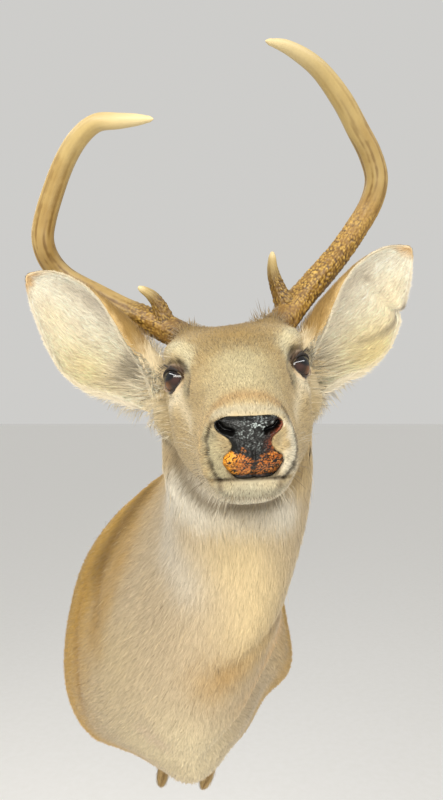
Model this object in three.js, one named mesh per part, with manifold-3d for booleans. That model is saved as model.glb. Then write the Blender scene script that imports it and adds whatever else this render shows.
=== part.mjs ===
// A life-size whitetail deer shoulder mount: head, neck and shoulders on a flat wooden back board.
// Millimetres, +Z up. The wall is the plane y = 0, the deer looks along -Y, and the origin is the
// centre of the board's rear face. "Left" and "right" are the deer's own, so its left is at +X.
import * as THREE from 'three';
import { mergeVertices } from 'three/addons/utils/BufferGeometryUtils.js';
import Module from 'manifold-3d';

const wasm = await Module();
wasm.setup();
const { Manifold, Mesh: SolidMesh } = wasm;

// ---------------------------------------------------------------- driving dimensions
const GAP = 0.3; // clearance between touching pieces

// The head has a frame of its own: x to the deer's left, f forward along the nose, z up, from the
// point midway between the eyes.
const HEAD = {
  place: new THREE.Vector3(81.4, -410, 398.5),
  pitch: 7.4, // nose below level, degrees
  yaw: 1.4, // turned to the deer's left
  roll: 7.0, // leaning, the left side higher
  untwist: 5.0, // how much of the lean is gone at the nose
  length: 170, // from the eyes to the nose
};

// Sections of the head, in its own frame: top (f, z), bottom (f, z), half width, egg (wider above),
// and the power of the corners above and below, where 1 is an ellipse and less is squarer.
const HEAD_SECTIONS = [
  [167, -36, 166, -44, 3, 0, 1, 1], // tip of the nose
  [167, -22, 160, -63, 22, 0, 0.85, 0.85],
  [161, -10, 153, -79, 31, -0.04, 0.8, 0.85],
  [147, -2, 140, -87, 36, -0.08, 0.8, 0.8], // whisker pads and chin
  [122, 7, 116, -93, 38.5, -0.1, 0.82, 0.76],
  [92, 17, 90, -105, 42.5, -0.08, 0.84, 0.74], // bridge of the nose
  [62, 27, 62, -113, 49, 0, 0.78, 0.74],
  [34, 36, 36, -118, 57, 0.06, 0.7, 0.76],
  [6, 43, 12, -120, 64, 0.1, 0.62, 0.8], // eyes
  [-24, 46, -10, -123, 70, 0.12, 0.58, 0.82],
  [-54, 46, -30, -125, 71, 0.09, 0.58, 0.86], // antler pedicles
  [-84, 42, -46, -128, 74, 0.03, 0.68, 0.9], // ears and angle of the jaw
  [-110, 28, -56, -134, 75, 0, 0.82, 0.95],
  [-128, 5, -63, -143, 79, 0, 0.95, 1], // back of the skull
];

// Sections of the neck and shoulders: top (x, y, z) along the nape, bottom (x, y, z) down the
// throat and brisket, half width left and right, egg, and the corners' power above, below on the
// left and below on the right.
const BODY_SECTIONS = [
  [88, -264, 400, 88, -346, 240, 82.5, 90, 0, 1, 1, 1],
  [87, -224, 366, 88, -352, 196, 85, 86, 0, 1, 1, 1],
  [78, -174, 332, 80, -352, 142, 86, 87, 0, 1, 1, 1],
  [56, -126, 304, 66, -346, 82, 90, 96, 0, 0.98, 1.05, 1],
  [30, -90, 280, 50, -326, 20, 105, 112, 0.03, 0.98, 1.15, 0.98],
  [10, -66, 264, 38, -284, -46, 125, 127, 0.02, 0.98, 1.4, 0.92],
  [2, -50, 253, 30, -212, -108, 145, 149, 0, 0.98, 1.45, 0.86],
  [2, -42, 248, 20, -120, -163, 159, 165, 0, 0.97, 1.4, 0.84],
  [2, -32, 250, 12, -36, -212, 172, 174, 0, 0.95, 1.3, 0.84],
  [3, -2, 246, 12, -2, -208, 170, 172, 0, 0.95, 1.3, 0.84], // rear edge of the hide
];
const HEAD_COUNT = HEAD_SECTIONS.length;
const SIDE_TURN = 5; // body sections over which the head's own sideways axis turns level

// Outline (x, z) of the shoulders near the wall, from the withers round the deer's left side.
const SHOULDER_OUTLINE = [
  [4, 246], [62, 222], [112, 178], [150, 112], [165, 34], [172, -46], [134, -92], [94, -155],
  [14, -211], [-74, -175], [-138, -147], [-172, -88], [-178, -6], [-158, 98], [-120, 171], [-65, 225],
];
const OUTLINE_FROM = 2.5; // body section where the outline begins to tell

// Swellings and hollows of the head, on both sides of it: ends (x, f, z), reach and height.
const HEAD_SWELLS = [
  [[52, 8, 24], [60, -24, 26], 14, 7], // brow
  [[50, 34, -14], [42, 50, -22], 9, -3.5], // tear groove
  [[52, 4, -50], [48, -36, -84], 26, 5], // cheek
  [[58, 22, -28], [66, -30, -22], 11, 3], // cheek bone
  [[40, 92, -16], [42, 52, -30], 17, -4], // hollow beside the nose
  [[32, 136, -46], [28, 148, -54], 14, 3], // whisker pad
  [[46, -56, 44], [60, -68, 46], 18, 9], // antler pedicle
  [[72, -88, -8], [88, -94, 0], 24, 13], // root of the ear
  [[80, -82, -49], [88, -88, -36], 23, 24], // its fleshy base, down to the cheek
  [[62, -84, -56], [56, -100, -100], 18, -4], // hollow behind the jaw
];
// Swellings of the neck and shoulders: ends (x, y, z), reach and height.
const BODY_SWELLS = [
  [[150, -60, 40], [160, -90, -20], 40, 6], // left shoulder
  [[146, -205, 35], [78, -275, -55], 26, -15], // crease between brisket and left shoulder
  [[30, -215, -90], [25, -120, -160], 40, 8], // brisket
];

const EYE = {
  centre: new THREE.Vector3(52, 3.4, -1.5), // in the head's frame, the left one
  radius: 18,
  gaze: new THREE.Vector3(0.766, 0.57, 0.297).normalize(),
  slant: new THREE.Vector3(-0.584, 0.789, 0.2), // from the outer corner to the tear duct
  opening: [19, 12.5], // half length and half height of the lids
  sunk: 13,
};

const NOSE_PAD = {
  // half width of the bare skin at heights z, from the top edge to the lip
  heights: [-16.2, -18, -21, -25, -29, -33, -38, -43, -47, -52, -57, -61, -63.5, -64.6],
  halfWidths: [12, 20, 25.5, 26.5, 24, 17, 14.8, 16.6, 21.5, 23.8, 22.5, 19, 14, 9],
  drift: [[-62, 3.4], [-50, 3.1], [-40, 2.2], [-30, 0.6], [-20, 0]], // its middle, to the deer's left
  front: 168.5, // its most forward place
  sides: { fall: 13, at: 30, power: 2.2 }, // how its face falls back towards the sides
  top: { fall: 9, from: -26, over: 13, power: 2 }, // towards the top edge
  lip: { fall: 12, from: -48, over: 14, power: 1.6 }, // and towards the lip
  proud: 1.5,
  depth: 11,
  across: 8, // divisions of its width
};

const MOUTH = { front: [168, -64], back: [62, -83], opening: 1.2 }; // (f, z) along the lips
const EYE_SEGMENTS = [14, 10]; // round the eyeball, and from pole to pole

// Sections where the flesh is parted by thin cuts.
const CUTS = { snout: 5.4, skull: 12.4, throat: 15.6, brisket: 18.4 };

const EAR = {
  root: [89, -94, -6],
  tip: [205, -88, 114],
  roll: 2.65, // the two ears stand more level than the head, degrees
  shift: -7,
  wall: 3.5,
  sunk: -0.16, // how far the root goes into the head, as a part of the length
  curl: [10, 8], // how far forward it bows, at the root and more at the tip
  lean: 0.25, // how far its lower side turns back, as a part of its width
  taper: 0.004, // how much shorter its inner face is, for each millimetre of depth
  least: 0.4, // least half width and depth of cup
};
// The ear's opening, at parts of the way from root to tip: lower edge, upper edge, depth of the
// cup, and how far the edges fold over, in radians.
const EAR_LOWER = [[-0.16, 28], [-0.05, 36], [0.04, 40], [0.13, 46], [0.22, 54], [0.34, 58], [0.46, 58],
  [0.64, 46], [0.84, 25], [0.95, 12], [1, 2]];
const EAR_UPPER = [[-0.16, -24], [0, -29], [0.1, -32], [0.25, -36], [0.37, -38.5], [0.52, -38], [0.68, -35.5],
  [0.8, -30], [0.9, -22], [0.97, -11], [1, -2]];
const EAR_CUP = [[-0.16, 20], [0, 26], [0.2, 33], [0.45, 31], [0.7, 20], [0.9, 9], [1, 1]];
const EAR_FOLD = [[-0.16, 2], [0, 1.3], [0.15, 1], [0.3, 0.85], [0.45, 0.6], [0.6, 0.3], [0.8, 0.05], [1, 0]];

// The antlers' paths in the head's frame, from the pedicle to the point.
const ANTLERS = {
  left: {
    beam: [[46, -62, 34], [60, -74, 44], [82, -90, 64], [106, -101, 85], [132, -111, 108],
      [156, -117, 134], [175, -115, 160], [181, -106, 184], [173, -93, 208], [157, -75, 231],
      [138, -53, 256], [112, -27, 279], [83, -3, 291], [57, 14, 294]],
    browTine: [[65, -82, 58], [58, -81, 78], [54, -78, 98], [55, -73, 117]],
  },
  right: {
    beam: [[-46, -64, 34], [-62, -80, 46], [-86, -92, 60], [-116, -105, 77], [-148, -117, 99],
      [-176, -125, 119], [-190, -122, 140], [-192, -112, 162], [-184, -104, 184], [-167, -90, 211],
      [-148, -73, 234], [-128, -54, 249], [-106, -34, 255], [-80, -9, 247], [-51, 21, 236]],
    browTine: [[-68, -82, 54], [-71, -80, 72], [-78, -77, 86], [-91, -72, 97]],
  },
};
const FORK = 0.125; // where the brow tine leaves the beam, as a part of the beam's length
const BEAM_RADII = [[0, 15.5], [0.08, 14.2], [0.3, 12.6], [0.55, 11.8], [0.75, 10], [0.9, 7.2], [0.97, 4.6], [1, 1.5]];
const TINE_RADII = [[0, 12], [0.3, 8], [0.7, 5.6], [0.92, 3.8], [1, 1.5]];
const HORN_STEPS = { beam: 24, tine: 7 };

const BOARD = { halfWidth: 112, top: 170, bottom: -150, thickness: 21, corner: 0.62 };
const HANGER = { height: 128, width: 92, depth: 13, thickness: 1.6, teeth: 15, tooth: 2.4, plain: 12, pocket: 4, margin: 8 };
const HIDE_TABS = {
  right: { from: [-22, -20, -200], to: [-29, -34, -226], radius: 8 },
  left: { from: [50, -22, -196], to: [37, -36, -229], radius: 8.5 },
};

const TAB_ROLL = { steps: 6, sides: 12, flat: 0.7, waist: 0.72 }; // a loose end of hide, thickest in the middle

// Divisions of the surfaces.
const ROUND = 36; // round the head and body
const FINE = { from: 6, to: 10, steps: 3 }; // rings between sections near the eyes
const COARSE_STEPS = 2; // and elsewhere
const EAR_STEPS = 10;
const EAR_RINGS = [-0.06, 0.04, 0.13, 0.22, 0.34, 0.46, 0.56, 0.66, 0.76, 0.85, 0.92, 0.97, 1];
const HORN_SIDES = 8;
const BOARD_CORNERS = 40;

// ---------------------------------------------------------------- small tools
const vec = (a) => new THREE.Vector3(a[0], a[1], a[2]);
const radians = THREE.MathUtils.degToRad;
const clamp = THREE.MathUtils.clamp;
const power = (value, exponent) => Math.sign(value) * Math.abs(value) ** exponent;

/** Value at x of the broken line through the [x, y] pairs of a table. */
function along(table, x) {
  const last = table.length - 1;
  if (x <= table[0][0]) return table[0][1];
  for (let i = 0; i < last; i += 1) {
    const [x0, y0] = table[i];
    const [x1, y1] = table[i + 1];
    if (x <= x1) return y0 + ((y1 - y0) * (x - x0)) / (x1 - x0);
  }
  return table[last][1];
}

/** Smooth curve of numbers through four neighbours, at t from 0 to 1 between the middle two. */
const blendFour = (a, b, c, d, t) =>
  0.5 * (2 * b + (c - a) * t + (2 * a - 5 * b + 4 * c - d) * t * t + (3 * b - a - 3 * c + d) * t * t * t);

/** Row of numbers at place u of a list of rows, along a smooth curve with straight ends. */
function rowAt(rows, u) {
  const last = rows.length - 1;
  const i = clamp(Math.floor(u), 0, last - 1);
  const before = i > 0 ? rows[i - 1] : rows[0].map((v, k) => 2 * v - rows[1][k]);
  const after = i + 2 <= last ? rows[i + 2] : rows[last].map((v, k) => 2 * v - rows[last - 1][k]);
  return rows[i].map((v, k) => blendFour(before[k], v, rows[i + 1][k], after[k], u - i));
}

/** Point at angle v of a closed smooth curve through a ring of rows. */
function ringAt(rows, v) {
  const count = rows.length;
  const place = (v / (2 * Math.PI)) * count;
  const i = Math.floor(place);
  const row = (k) => rows[(i + k + count) % count];
  return row(0).map((value, k) => blendFour(row(-1)[k], value, row(1)[k], row(2)[k], place - i));
}

// ---------------------------------------------------------------- the head's frame
const headTurn = new THREE.Matrix4().makeRotationZ(radians(HEAD.yaw))
  .multiply(new THREE.Matrix4().makeRotationX(radians(HEAD.pitch)));
const headTurnBack = headTurn.clone().transpose();
const leanAt = (f) => radians(HEAD.roll - clamp(f / HEAD.length, 0, 1) * HEAD.untwist);

/** Takes a point from the head's frame (x, f, z) to the model's. */
function fromHead(point) {
  const lean = leanAt(point.y);
  const x = Math.cos(lean) * point.x - Math.sin(lean) * point.z;
  const z = Math.sin(lean) * point.x + Math.cos(lean) * point.z;
  return new THREE.Vector3(x, -point.y, z).applyMatrix4(headTurn).add(HEAD.place);
}

/** Takes a point of the model to the head's frame. */
function toHead(point) {
  const q = point.clone().sub(HEAD.place).applyMatrix4(headTurnBack);
  const lean = leanAt(-q.y);
  return new THREE.Vector3(
    Math.cos(lean) * q.x + Math.sin(lean) * q.z, -q.y, -Math.sin(lean) * q.x + Math.cos(lean) * q.z);
}

// ---------------------------------------------------------------- the body's surface
/** All sections as rows of top, bottom and sideways vectors, half widths, egg and corner powers. */
function bodyRows() {
  const rows = HEAD_SECTIONS.map(([ft, zt, fb, zb, width, egg, above, below]) => {
    const middle = (ft + fb) / 2;
    const top = fromHead(vec([0, ft, zt]));
    const bottom = fromHead(vec([0, fb, zb]));
    const side = fromHead(vec([1, middle, 0])).sub(fromHead(vec([0, middle, 0])));
    return [...top, ...bottom, ...side, width, width, egg, above, below, below];
  });
  const headSide = vec(rows[HEAD_COUNT - 1].slice(6, 9));
  BODY_SECTIONS.forEach((section, i) => {
    const side = headSide.clone().lerp(vec([1, 0, 0]), clamp((i + 1) / SIDE_TURN, 0, 1)).normalize();
    rows.push([...section.slice(0, 6), ...side, ...section.slice(6)]);
  });
  return rows;
}
const ROWS = bodyRows();
const LAST = ROWS.length - 1;

/** Point at angle v of a section: an ellipse whose corners and sides have their own powers. */
function sectionPoint(row, v) {
  const [top, bottom, side] = [0, 3, 6].map((k) => vec(row.slice(k, k + 3)));
  const [wideLeft, wideRight, egg, above, belowLeft, belowRight] = row.slice(9);
  const c = Math.cos(v);
  const s = Math.sin(v);
  const leftness = 0.5 + 0.5 * Math.tanh(3 * s);
  const below = belowLeft * leftness + belowRight * (1 - leftness);
  const width = wideLeft * leftness + wideRight * (1 - leftness);
  const corner = (above * (1 + c)) / 2 + (below * (1 - c)) / 2;
  return top.clone().add(bottom).multiplyScalar(0.5)
    .addScaledVector(top.clone().sub(bottom), 0.5 * power(c, corner))
    .addScaledVector(side, width * power(s, corner) * (1 + egg * c));
}

/** Point of the bare loft at section place u and angle v. */
function loftPoint(u, v) {
  const point = sectionPoint(rowAt(ROWS, u), v);
  const start = HEAD_COUNT + OUTLINE_FROM;
  const k = THREE.MathUtils.smoothstep(u, start, LAST - 1);
  if (k > 0) {
    const [x, z] = ringAt(SHOULDER_OUTLINE, v);
    const wall = sectionPoint(ROWS[LAST - 1], v);
    point.x += k * (x - wall.x);
    point.z += k * (z - wall.z);
  }
  return point;
}

/** Height of a swelling at a point: height times exp(-(distance to its core / reach) squared). */
function swell(point, [from, to, reach, height]) {
  const near = new THREE.Line3(vec(from), vec(to)).closestPointToPoint(point, true, new THREE.Vector3());
  return height * Math.exp(-((near.distanceTo(point) / reach) ** 2));
}

const lidAcross = EYE.slant.clone().addScaledVector(EYE.gaze, -EYE.slant.dot(EYE.gaze)).normalize();
const lidUp = EYE.gaze.clone().cross(lidAcross);

/** Depth of the eye's opening at a point of the head's frame, flat inside an oval. */
function socket(point) {
  const away = point.clone().sub(EYE.centre);
  if (away.dot(EYE.gaze) <= 0) return 0;
  const oval = Math.hypot(away.dot(lidAcross) / EYE.opening[0], away.dot(lidUp) / EYE.opening[1]);
  return -EYE.sunk * Math.exp(-(oval ** 6));
}

/** How far the surface stands out from the bare loft at a point. */
function relief(point) {
  const h = toHead(point);
  let height = BODY_SWELLS.reduce((sum, bump) => sum + swell(point, bump), 0);
  for (const p of [h, vec([-h.x, h.y, h.z])]) {
    height += HEAD_SWELLS.reduce((sum, bump) => sum + swell(p, bump), socket(p));
  }
  return height;
}

/** Places of the body's rings of points, in sections. */
function ringPlaces() {
  const places = [];
  for (let section = 0; section < LAST; section += 1) {
    const steps = section >= FINE.from && section < FINE.to ? FINE.steps : COARSE_STEPS;
    for (let i = 0; i < steps; i += 1) places.push(section + i / steps);
  }
  return [...places, LAST];
}

/** Rows of points of the whole body's surface, grown outwards by a little if asked. */
function bodyGrid(grow = 0) {
  const step = (2 * Math.PI) / ROUND;
  const nudge = 1e-3;
  return ringPlaces().map((u) => Array.from({ length: ROUND }, (_, j) => {
    const v = j * step;
    const point = loftPoint(u, v);
    const alongBody = loftPoint(Math.min(u + nudge, LAST), v).sub(loftPoint(Math.max(u - nudge, 0), v));
    const round = loftPoint(u, v + nudge).sub(loftPoint(u, v - nudge));
    const outward = round.cross(alongBody).normalize();
    if (u === LAST) outward.y = 0; // the rear edge stays in its plane
    return point.addScaledVector(outward, relief(point) + grow);
  }));
}

// ---------------------------------------------------------------- closed meshes
/** Closed geometry of rings of points, each end closed by a fan, with its faces pointing out. */
function closedRings(rings) {
  const count = rings[0].length;
  const points = rings.flat();
  const middle = (ring) => ring.reduce((sum, p) => sum.add(p), new THREE.Vector3()).divideScalar(count);
  const first = points.push(middle(rings[0])) - 1;
  const last = points.push(middle(rings[rings.length - 1])) - 1;
  const index = [];
  const at = (i, j) => i * count + (j % count);
  for (let j = 0; j < count; j += 1) {
    for (let i = 0; i < rings.length - 1; i += 1) {
      index.push(at(i, j), at(i + 1, j), at(i + 1, j + 1), at(i, j), at(i + 1, j + 1), at(i, j + 1));
    }
    index.push(first, at(0, j), at(0, j + 1));
    index.push(last, at(rings.length - 1, j + 1), at(rings.length - 1, j));
  }
  const geometry = new THREE.BufferGeometry().setFromPoints(points);
  geometry.setIndex(volumeOf(points, index) < 0 ? index.reverse() : index);
  return geometry;
}

/** Six times the signed volume inside a set of triangles. */
function volumeOf(points, index) {
  let sum = 0;
  for (let i = 0; i < index.length; i += 3) {
    const [a, b, c] = [0, 1, 2].map((k) => points[index[i + k]]);
    sum += a.dot(b.clone().cross(c));
  }
  return sum;
}

/** Geometry with only positions, its shared corners merged. */
function bare(geometry) {
  const copy = geometry.clone();
  copy.deleteAttribute('normal');
  copy.deleteAttribute('uv');
  return mergeVertices(copy, 1e-4);
}

/** Solid for joining and cutting, from a closed geometry. */
function solidOf(geometry) {
  const merged = bare(geometry);
  return new Manifold(new SolidMesh({
    numProp: 3,
    vertProperties: new Float32Array(merged.attributes.position.array),
    triVerts: new Uint32Array(merged.index.array),
  }));
}

/** Geometry of a solid. */
function geometryOf(solid) {
  const { vertProperties, triVerts } = solid.getMesh();
  const geometry = new THREE.BufferGeometry();
  geometry.setAttribute('position', new THREE.BufferAttribute(vertProperties, 3));
  geometry.setIndex(new THREE.BufferAttribute(triVerts, 1));
  return geometry;
}

/** The largest single piece of a solid. */
function largest(solid) {
  return solid.decompose().reduce((a, b) => (a.volume() >= b.volume() ? a : b));
}

/** Solid on one side of a plane: all that lies beyond a point in a direction, moved on by a shift. */
function beyond(point, direction, shift) {
  const size = 1600;
  const box = new THREE.BoxGeometry(size, size, size);
  const n = direction.clone().normalize();
  const turn = new THREE.Quaternion().setFromUnitVectors(vec([0, 0, 1]), n);
  box.applyQuaternion(turn);
  box.translate(...point.clone().addScaledVector(n, size / 2 + shift));
  return solidOf(box);
}

// ---------------------------------------------------------------- flesh
/** Plane of the section at place u: a point and its normal, towards the rear. */
function sectionPlane(u) {
  const row = rowAt(ROWS, u);
  const [top, bottom, side] = [0, 3, 6].map((k) => vec(row.slice(k, k + 3)));
  const normal = side.clone().cross(top.clone().sub(bottom)).normalize();
  const next = rowAt(ROWS, Math.min(u + 0.2, LAST));
  const onward = vec(next.slice(0, 3)).add(vec(next.slice(3, 6))).sub(top).sub(bottom);
  if (onward.dot(normal) < 0) normal.negate();
  return { point: top.add(bottom).multiplyScalar(0.5), normal };
}

/** The part of a solid between the sections at two places, with half a gap left at each cut. */
function between(solid, from, to) {
  let piece = solid;
  if (from !== null) {
    const { point, normal } = sectionPlane(from);
    piece = piece.intersect(beyond(point, normal, GAP / 2));
  }
  if (to !== null) {
    const { point, normal } = sectionPlane(to);
    piece = piece.intersect(beyond(point, normal.negate(), GAP / 2));
  }
  return largest(piece);
}

/** Upper or lower side of the line of the lips. */
function jawSide(sign) {
  const [f0, z0] = MOUTH.front;
  const [f1, z1] = MOUTH.back;
  const front = fromHead(vec([0, f0, z0]));
  const back = fromHead(vec([0, f1, z1]));
  const side = fromHead(vec([1, f0, z0])).sub(front);
  const up = side.cross(front.clone().sub(back)).normalize();
  if (up.z < 0) up.negate();
  return beyond(front, up.multiplyScalar(sign), MOUTH.opening / 2);
}

/** Eyeball of one side, grown by a little if asked. */
function eyeball(side, grow = 0) {
  const ball = new THREE.SphereGeometry(EYE.radius + grow, ...EYE_SEGMENTS);
  return ball.translate(...fromHead(vec([side * EYE.centre.x, EYE.centre.y, EYE.centre.z])));
}

/** Bare pad of the nose: a curved plate set into the front of the muzzle. */
function nosePad(grow = 0) {
  const { heights, halfWidths, sides: edges, top, lip, across } = NOSE_PAD;
  const front = (x, z) => NOSE_PAD.front - edges.fall * (Math.abs(x) / edges.at) ** edges.power
    - top.fall * clamp((z - top.from) / top.over, 0, 1) ** top.power
    - lip.fall * clamp((lip.from - z) / lip.over, 0, 1) ** lip.power;
  const rings = heights.map((height, i) => {
    const edge = i === 0 ? grow : i === heights.length - 1 ? -grow : 0;
    const z = height + edge;
    const half = halfWidths[i] + grow;
    const place = (t, offset) => {
      const x = along(NOSE_PAD.drift, height) + t * half;
      return vec([x, front(x, z) + offset, z]);
    };
    const outer = Array.from({ length: across + 1 }, (_, k) => place((2 * k) / across - 1, NOSE_PAD.proud + grow));
    const inner = Array.from({ length: across + 1 }, (_, k) => place(1 - (2 * k) / across, -NOSE_PAD.depth - grow));
    return [...outer, ...inner].map(fromHead);
  });
  return closedRings(rings.reverse());
}

// ---------------------------------------------------------------- ears
/** Points of one side of the ear's sheet, in the head's frame before it is mirrored. */
function earSheet(s, offset) {
  const root = vec(EAR.root);
  const tip = vec(EAR.tip);
  const length = tip.distanceTo(root);
  const out = tip.clone().sub(root).normalize();
  const forward = vec([0, 1, 0]).addScaledVector(out, -out.y).normalize();
  const down = forward.clone().cross(out).normalize();
  if (down.z > 0) down.negate();
  const low = along(EAR_LOWER, s);
  const high = along(EAR_UPPER, s);
  const middle = (low + high) / 2;
  const half = Math.max((low - high) / 2 - offset, EAR.least);
  const cup = Math.max(along(EAR_CUP, s) - offset, EAR.least);
  const fold = along(EAR_FOLD, s);
  const under = fold / 4; // the lower edge folds over by a quarter as much as the upper one
  const curl = EAR.curl[0] + EAR.curl[1] * clamp(s, 0, 1) ** 2;
  return Array.from({ length: EAR_STEPS + 1 }, (_, k) => {
    const angle = -under + (k / EAR_STEPS) * (Math.PI + under + fold);
    const x = half * Math.cos(angle);
    return root.clone()
      .addScaledVector(out, length * s * (1 - EAR.taper * offset))
      .addScaledVector(down, middle + x)
      .addScaledVector(forward, curl - cup * Math.sin(angle) - EAR.lean * x);
  });
}

/** Closed ear of one side: a cupped sheet, folded into a tube at its root. */
function ear(side) {
  const turn = radians(EAR.roll);
  const rings = [EAR.sunk, ...EAR_RINGS].map((s) => {
    const outer = earSheet(s, 0);
    const inner = earSheet(s, EAR.wall).reverse();
    return [...outer, ...inner].map((p) => {
      const x = side * p.x;
      return fromHead(vec([
        x * Math.cos(turn) + p.z * Math.sin(turn) + EAR.shift, p.y, p.z * Math.cos(turn) - x * Math.sin(turn)]));
    });
  });
  return closedRings(rings);
}

// ---------------------------------------------------------------- antlers
/** Smooth curve through a path of the head's frame. */
const hornCurve = (path) => new THREE.CatmullRomCurve3(path.map((p) => fromHead(vec(p))), false, 'centripetal');

/** Closed tapering tube along a path of the head's frame, grown by a little if asked. */
function horn(path, radii, steps, grow = 0) {
  const curve = hornCurve(path);
  const frames = curve.computeFrenetFrames(steps, false);
  const rings = Array.from({ length: steps + 1 }, (_, i) => {
    const centre = curve.getPointAt(i / steps);
    const radius = along(radii, i / steps) + grow;
    return Array.from({ length: HORN_SIDES }, (_unused, j) => {
      const angle = (2 * Math.PI * j) / HORN_SIDES;
      return centre.clone()
        .addScaledVector(frames.normals[i], radius * Math.cos(angle))
        .addScaledVector(frames.binormals[i], radius * Math.sin(angle));
    });
  });
  return closedRings(rings);
}

/** The solids of one antler, parted at its fork: base, beam and brow tine. */
function antler({ beam, browTine }, flesh) {
  const whole = solidOf(horn(beam, BEAM_RADII, HORN_STEPS.beam)).subtract(flesh);
  const curve = hornCurve(beam);
  const [fork, onward] = [curve.getPointAt(FORK), curve.getTangentAt(FORK)];
  const upper = beyond(fork, onward, GAP / 2);
  const lower = beyond(fork, onward.clone().negate(), GAP / 2);
  const tine = solidOf(horn(browTine, TINE_RADII, HORN_STEPS.tine)).subtract(flesh);
  return {
    base: largest(whole.intersect(lower)),
    beam: largest(whole.intersect(upper)),
    brow_tine: largest(tine.subtract(solidOf(horn(beam, BEAM_RADII, HORN_STEPS.beam, GAP)))),
  };
}

// ---------------------------------------------------------------- board, hanger and hide
/** The board's outline in (x, z), an upright panel with rounded corners. */
function boardShape(grow = 0) {
  const middle = (BOARD.top + BOARD.bottom) / 2;
  const halfHeight = (BOARD.top - BOARD.bottom) / 2 + grow;
  const halfWidth = BOARD.halfWidth + grow;
  const points = Array.from({ length: BOARD_CORNERS }, (_, i) => {
    const angle = (2 * Math.PI * i) / BOARD_CORNERS;
    return new THREE.Vector2(
      halfWidth * power(Math.cos(angle), BOARD.corner), middle + halfHeight * power(Math.sin(angle), BOARD.corner));
  });
  return new THREE.Shape(points);
}

/** A flat shape in (x, z) given a thickness, from y = rear forwards. */
function plate(shape, thickness, rear) {
  const geometry = new THREE.ExtrudeGeometry(shape, { depth: thickness, bevelEnabled: false });
  return geometry.rotateX(Math.PI / 2).translate(0, rear, 0);
}

/** Sawtooth strip that hangs on a nail, with its teeth along the lower edge. */
function hangerShape() {
  const shape = new THREE.Shape();
  const half = HANGER.width / 2;
  const low = HANGER.height - HANGER.depth / 2;
  const high = HANGER.height + HANGER.depth / 2;
  shape.moveTo(half, high);
  shape.lineTo(-half, high);
  shape.lineTo(-half, low);
  const pitch = (HANGER.width - 2 * HANGER.plain) / HANGER.teeth;
  for (let i = 0; i <= HANGER.teeth; i += 1) {
    const x = -half + HANGER.plain + i * pitch;
    shape.lineTo(x, low);
    if (i < HANGER.teeth) shape.lineTo(x + pitch / 2, low + HANGER.tooth);
  }
  shape.lineTo(half, low);
  shape.closePath();
  return shape;
}

/** Shallow pocket in the board's rear that the hanger lies in. */
function hangerPocket() {
  const { width, depth, pocket, margin } = HANGER;
  const box = new THREE.BoxGeometry(width + 2 * margin, 2 * pocket, depth + 2 * margin);
  return box.translate(0, 0, HANGER.height);
}

/** Short end of hide, rolled up as it dried. */
function hideTab({ from, to, radius }) {
  const core = new THREE.LineCurve3(vec(from), vec(to));
  const { steps, sides: count, flat, waist } = TAB_ROLL;
  const frames = core.computeFrenetFrames(steps, false);
  const rings = Array.from({ length: steps + 1 }, (_, i) => {
    const size = radius * (waist + (1 - waist) * Math.sin((Math.PI * (i + 1)) / (steps + 2)));
    return Array.from({ length: count }, (_unused, j) => {
      const angle = (2 * Math.PI * j) / count;
      return core.getPoint(i / steps)
        .addScaledVector(frames.normals[i], size * Math.cos(angle))
        .addScaledVector(frames.binormals[i], flat * size * Math.sin(angle));
    });
  });
  return closedRings(rings);
}

// ---------------------------------------------------------------- finishes
const finish = (color, roughness, metalness = 0) => new THREE.MeshStandardMaterial({ color, roughness, metalness });
const COAT = finish(0xb99a6b, 0.95);
const THROAT = finish(0xd9c7a3, 0.95);
const FACE = finish(0xc2ab82, 0.95);
const EAR_SKIN = finish(0xdccfb4, 0.95);
const ANTLER_PALE = finish(0xc0a272, 0.55);
const ANTLER_BROWN = finish(0x7c5732, 0.7);
const GLASS_EYE = finish(0x1d100a, 0.08);
const NOSE = finish(0x1c1a1a, 0.35);
const HIDE = finish(0xcdb07c, 0.85);
const WOOD = finish(0xb48a58, 0.75);
const STEEL = finish(0xa8a8a4, 0.35, 0.9);

// ---------------------------------------------------------------- assembly
const mount = new THREE.Group();

/** Adds one named piece. */
function add(name, geometry, material) {
  const mesh = new THREE.Mesh(geometry, material);
  mesh.name = name;
  mount.add(mesh);
}

const body = solidOf(closedRings(bodyGrid()));
const flesh = solidOf(closedRings(bodyGrid(GAP)));
const sides = { left: 1, right: -1 };

const snout = between(body, null, CUTS.snout).subtract(solidOf(nosePad(2 * GAP)));
add('muzzle', geometryOf(largest(snout.intersect(jawSide(1)))), FACE);
add('lower_jaw', geometryOf(largest(snout.intersect(jawSide(-1)))), THROAT);
add('nose_pad', nosePad(-GAP), NOSE);

const skull = Object.values(sides).reduce(
  (solid, side) => solid.subtract(solidOf(eyeball(side, GAP))), between(body, CUTS.snout, CUTS.skull));
add('head', geometryOf(largest(skull)), FACE);
add('neck_upper', geometryOf(between(body, CUTS.skull, CUTS.throat)), THROAT);
add('neck_lower', geometryOf(between(body, CUTS.throat, CUTS.brisket)), COAT);

const boardRecess = solidOf(plate(boardShape(GAP), BOARD.thickness + 2 * GAP, GAP));
add('shoulders', geometryOf(between(body, CUTS.brisket, null).subtract(boardRecess)), COAT);

for (const [name, side] of Object.entries(sides)) {
  add(`eye_${name}`, eyeball(side), GLASS_EYE);
  add(`ear_${name}`, geometryOf(largest(solidOf(ear(side)).subtract(flesh))), EAR_SKIN);
  for (const [part, solid] of Object.entries(antler(ANTLERS[name], flesh))) {
    add(`antler_${name}_${part}`, geometryOf(solid), part === 'beam' ? ANTLER_PALE : ANTLER_BROWN);
  }
  add(`hide_tab_${name}`, geometryOf(largest(solidOf(hideTab(HIDE_TABS[name])).subtract(flesh))), HIDE);
}

const panel = solidOf(plate(boardShape(), BOARD.thickness, 0)).subtract(solidOf(hangerPocket()));
add('back_board', geometryOf(panel), WOOD);
add('wall_hanger', plate(hangerShape(), HANGER.thickness, -HANGER.pocket + HANGER.thickness + GAP), STEEL);

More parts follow.
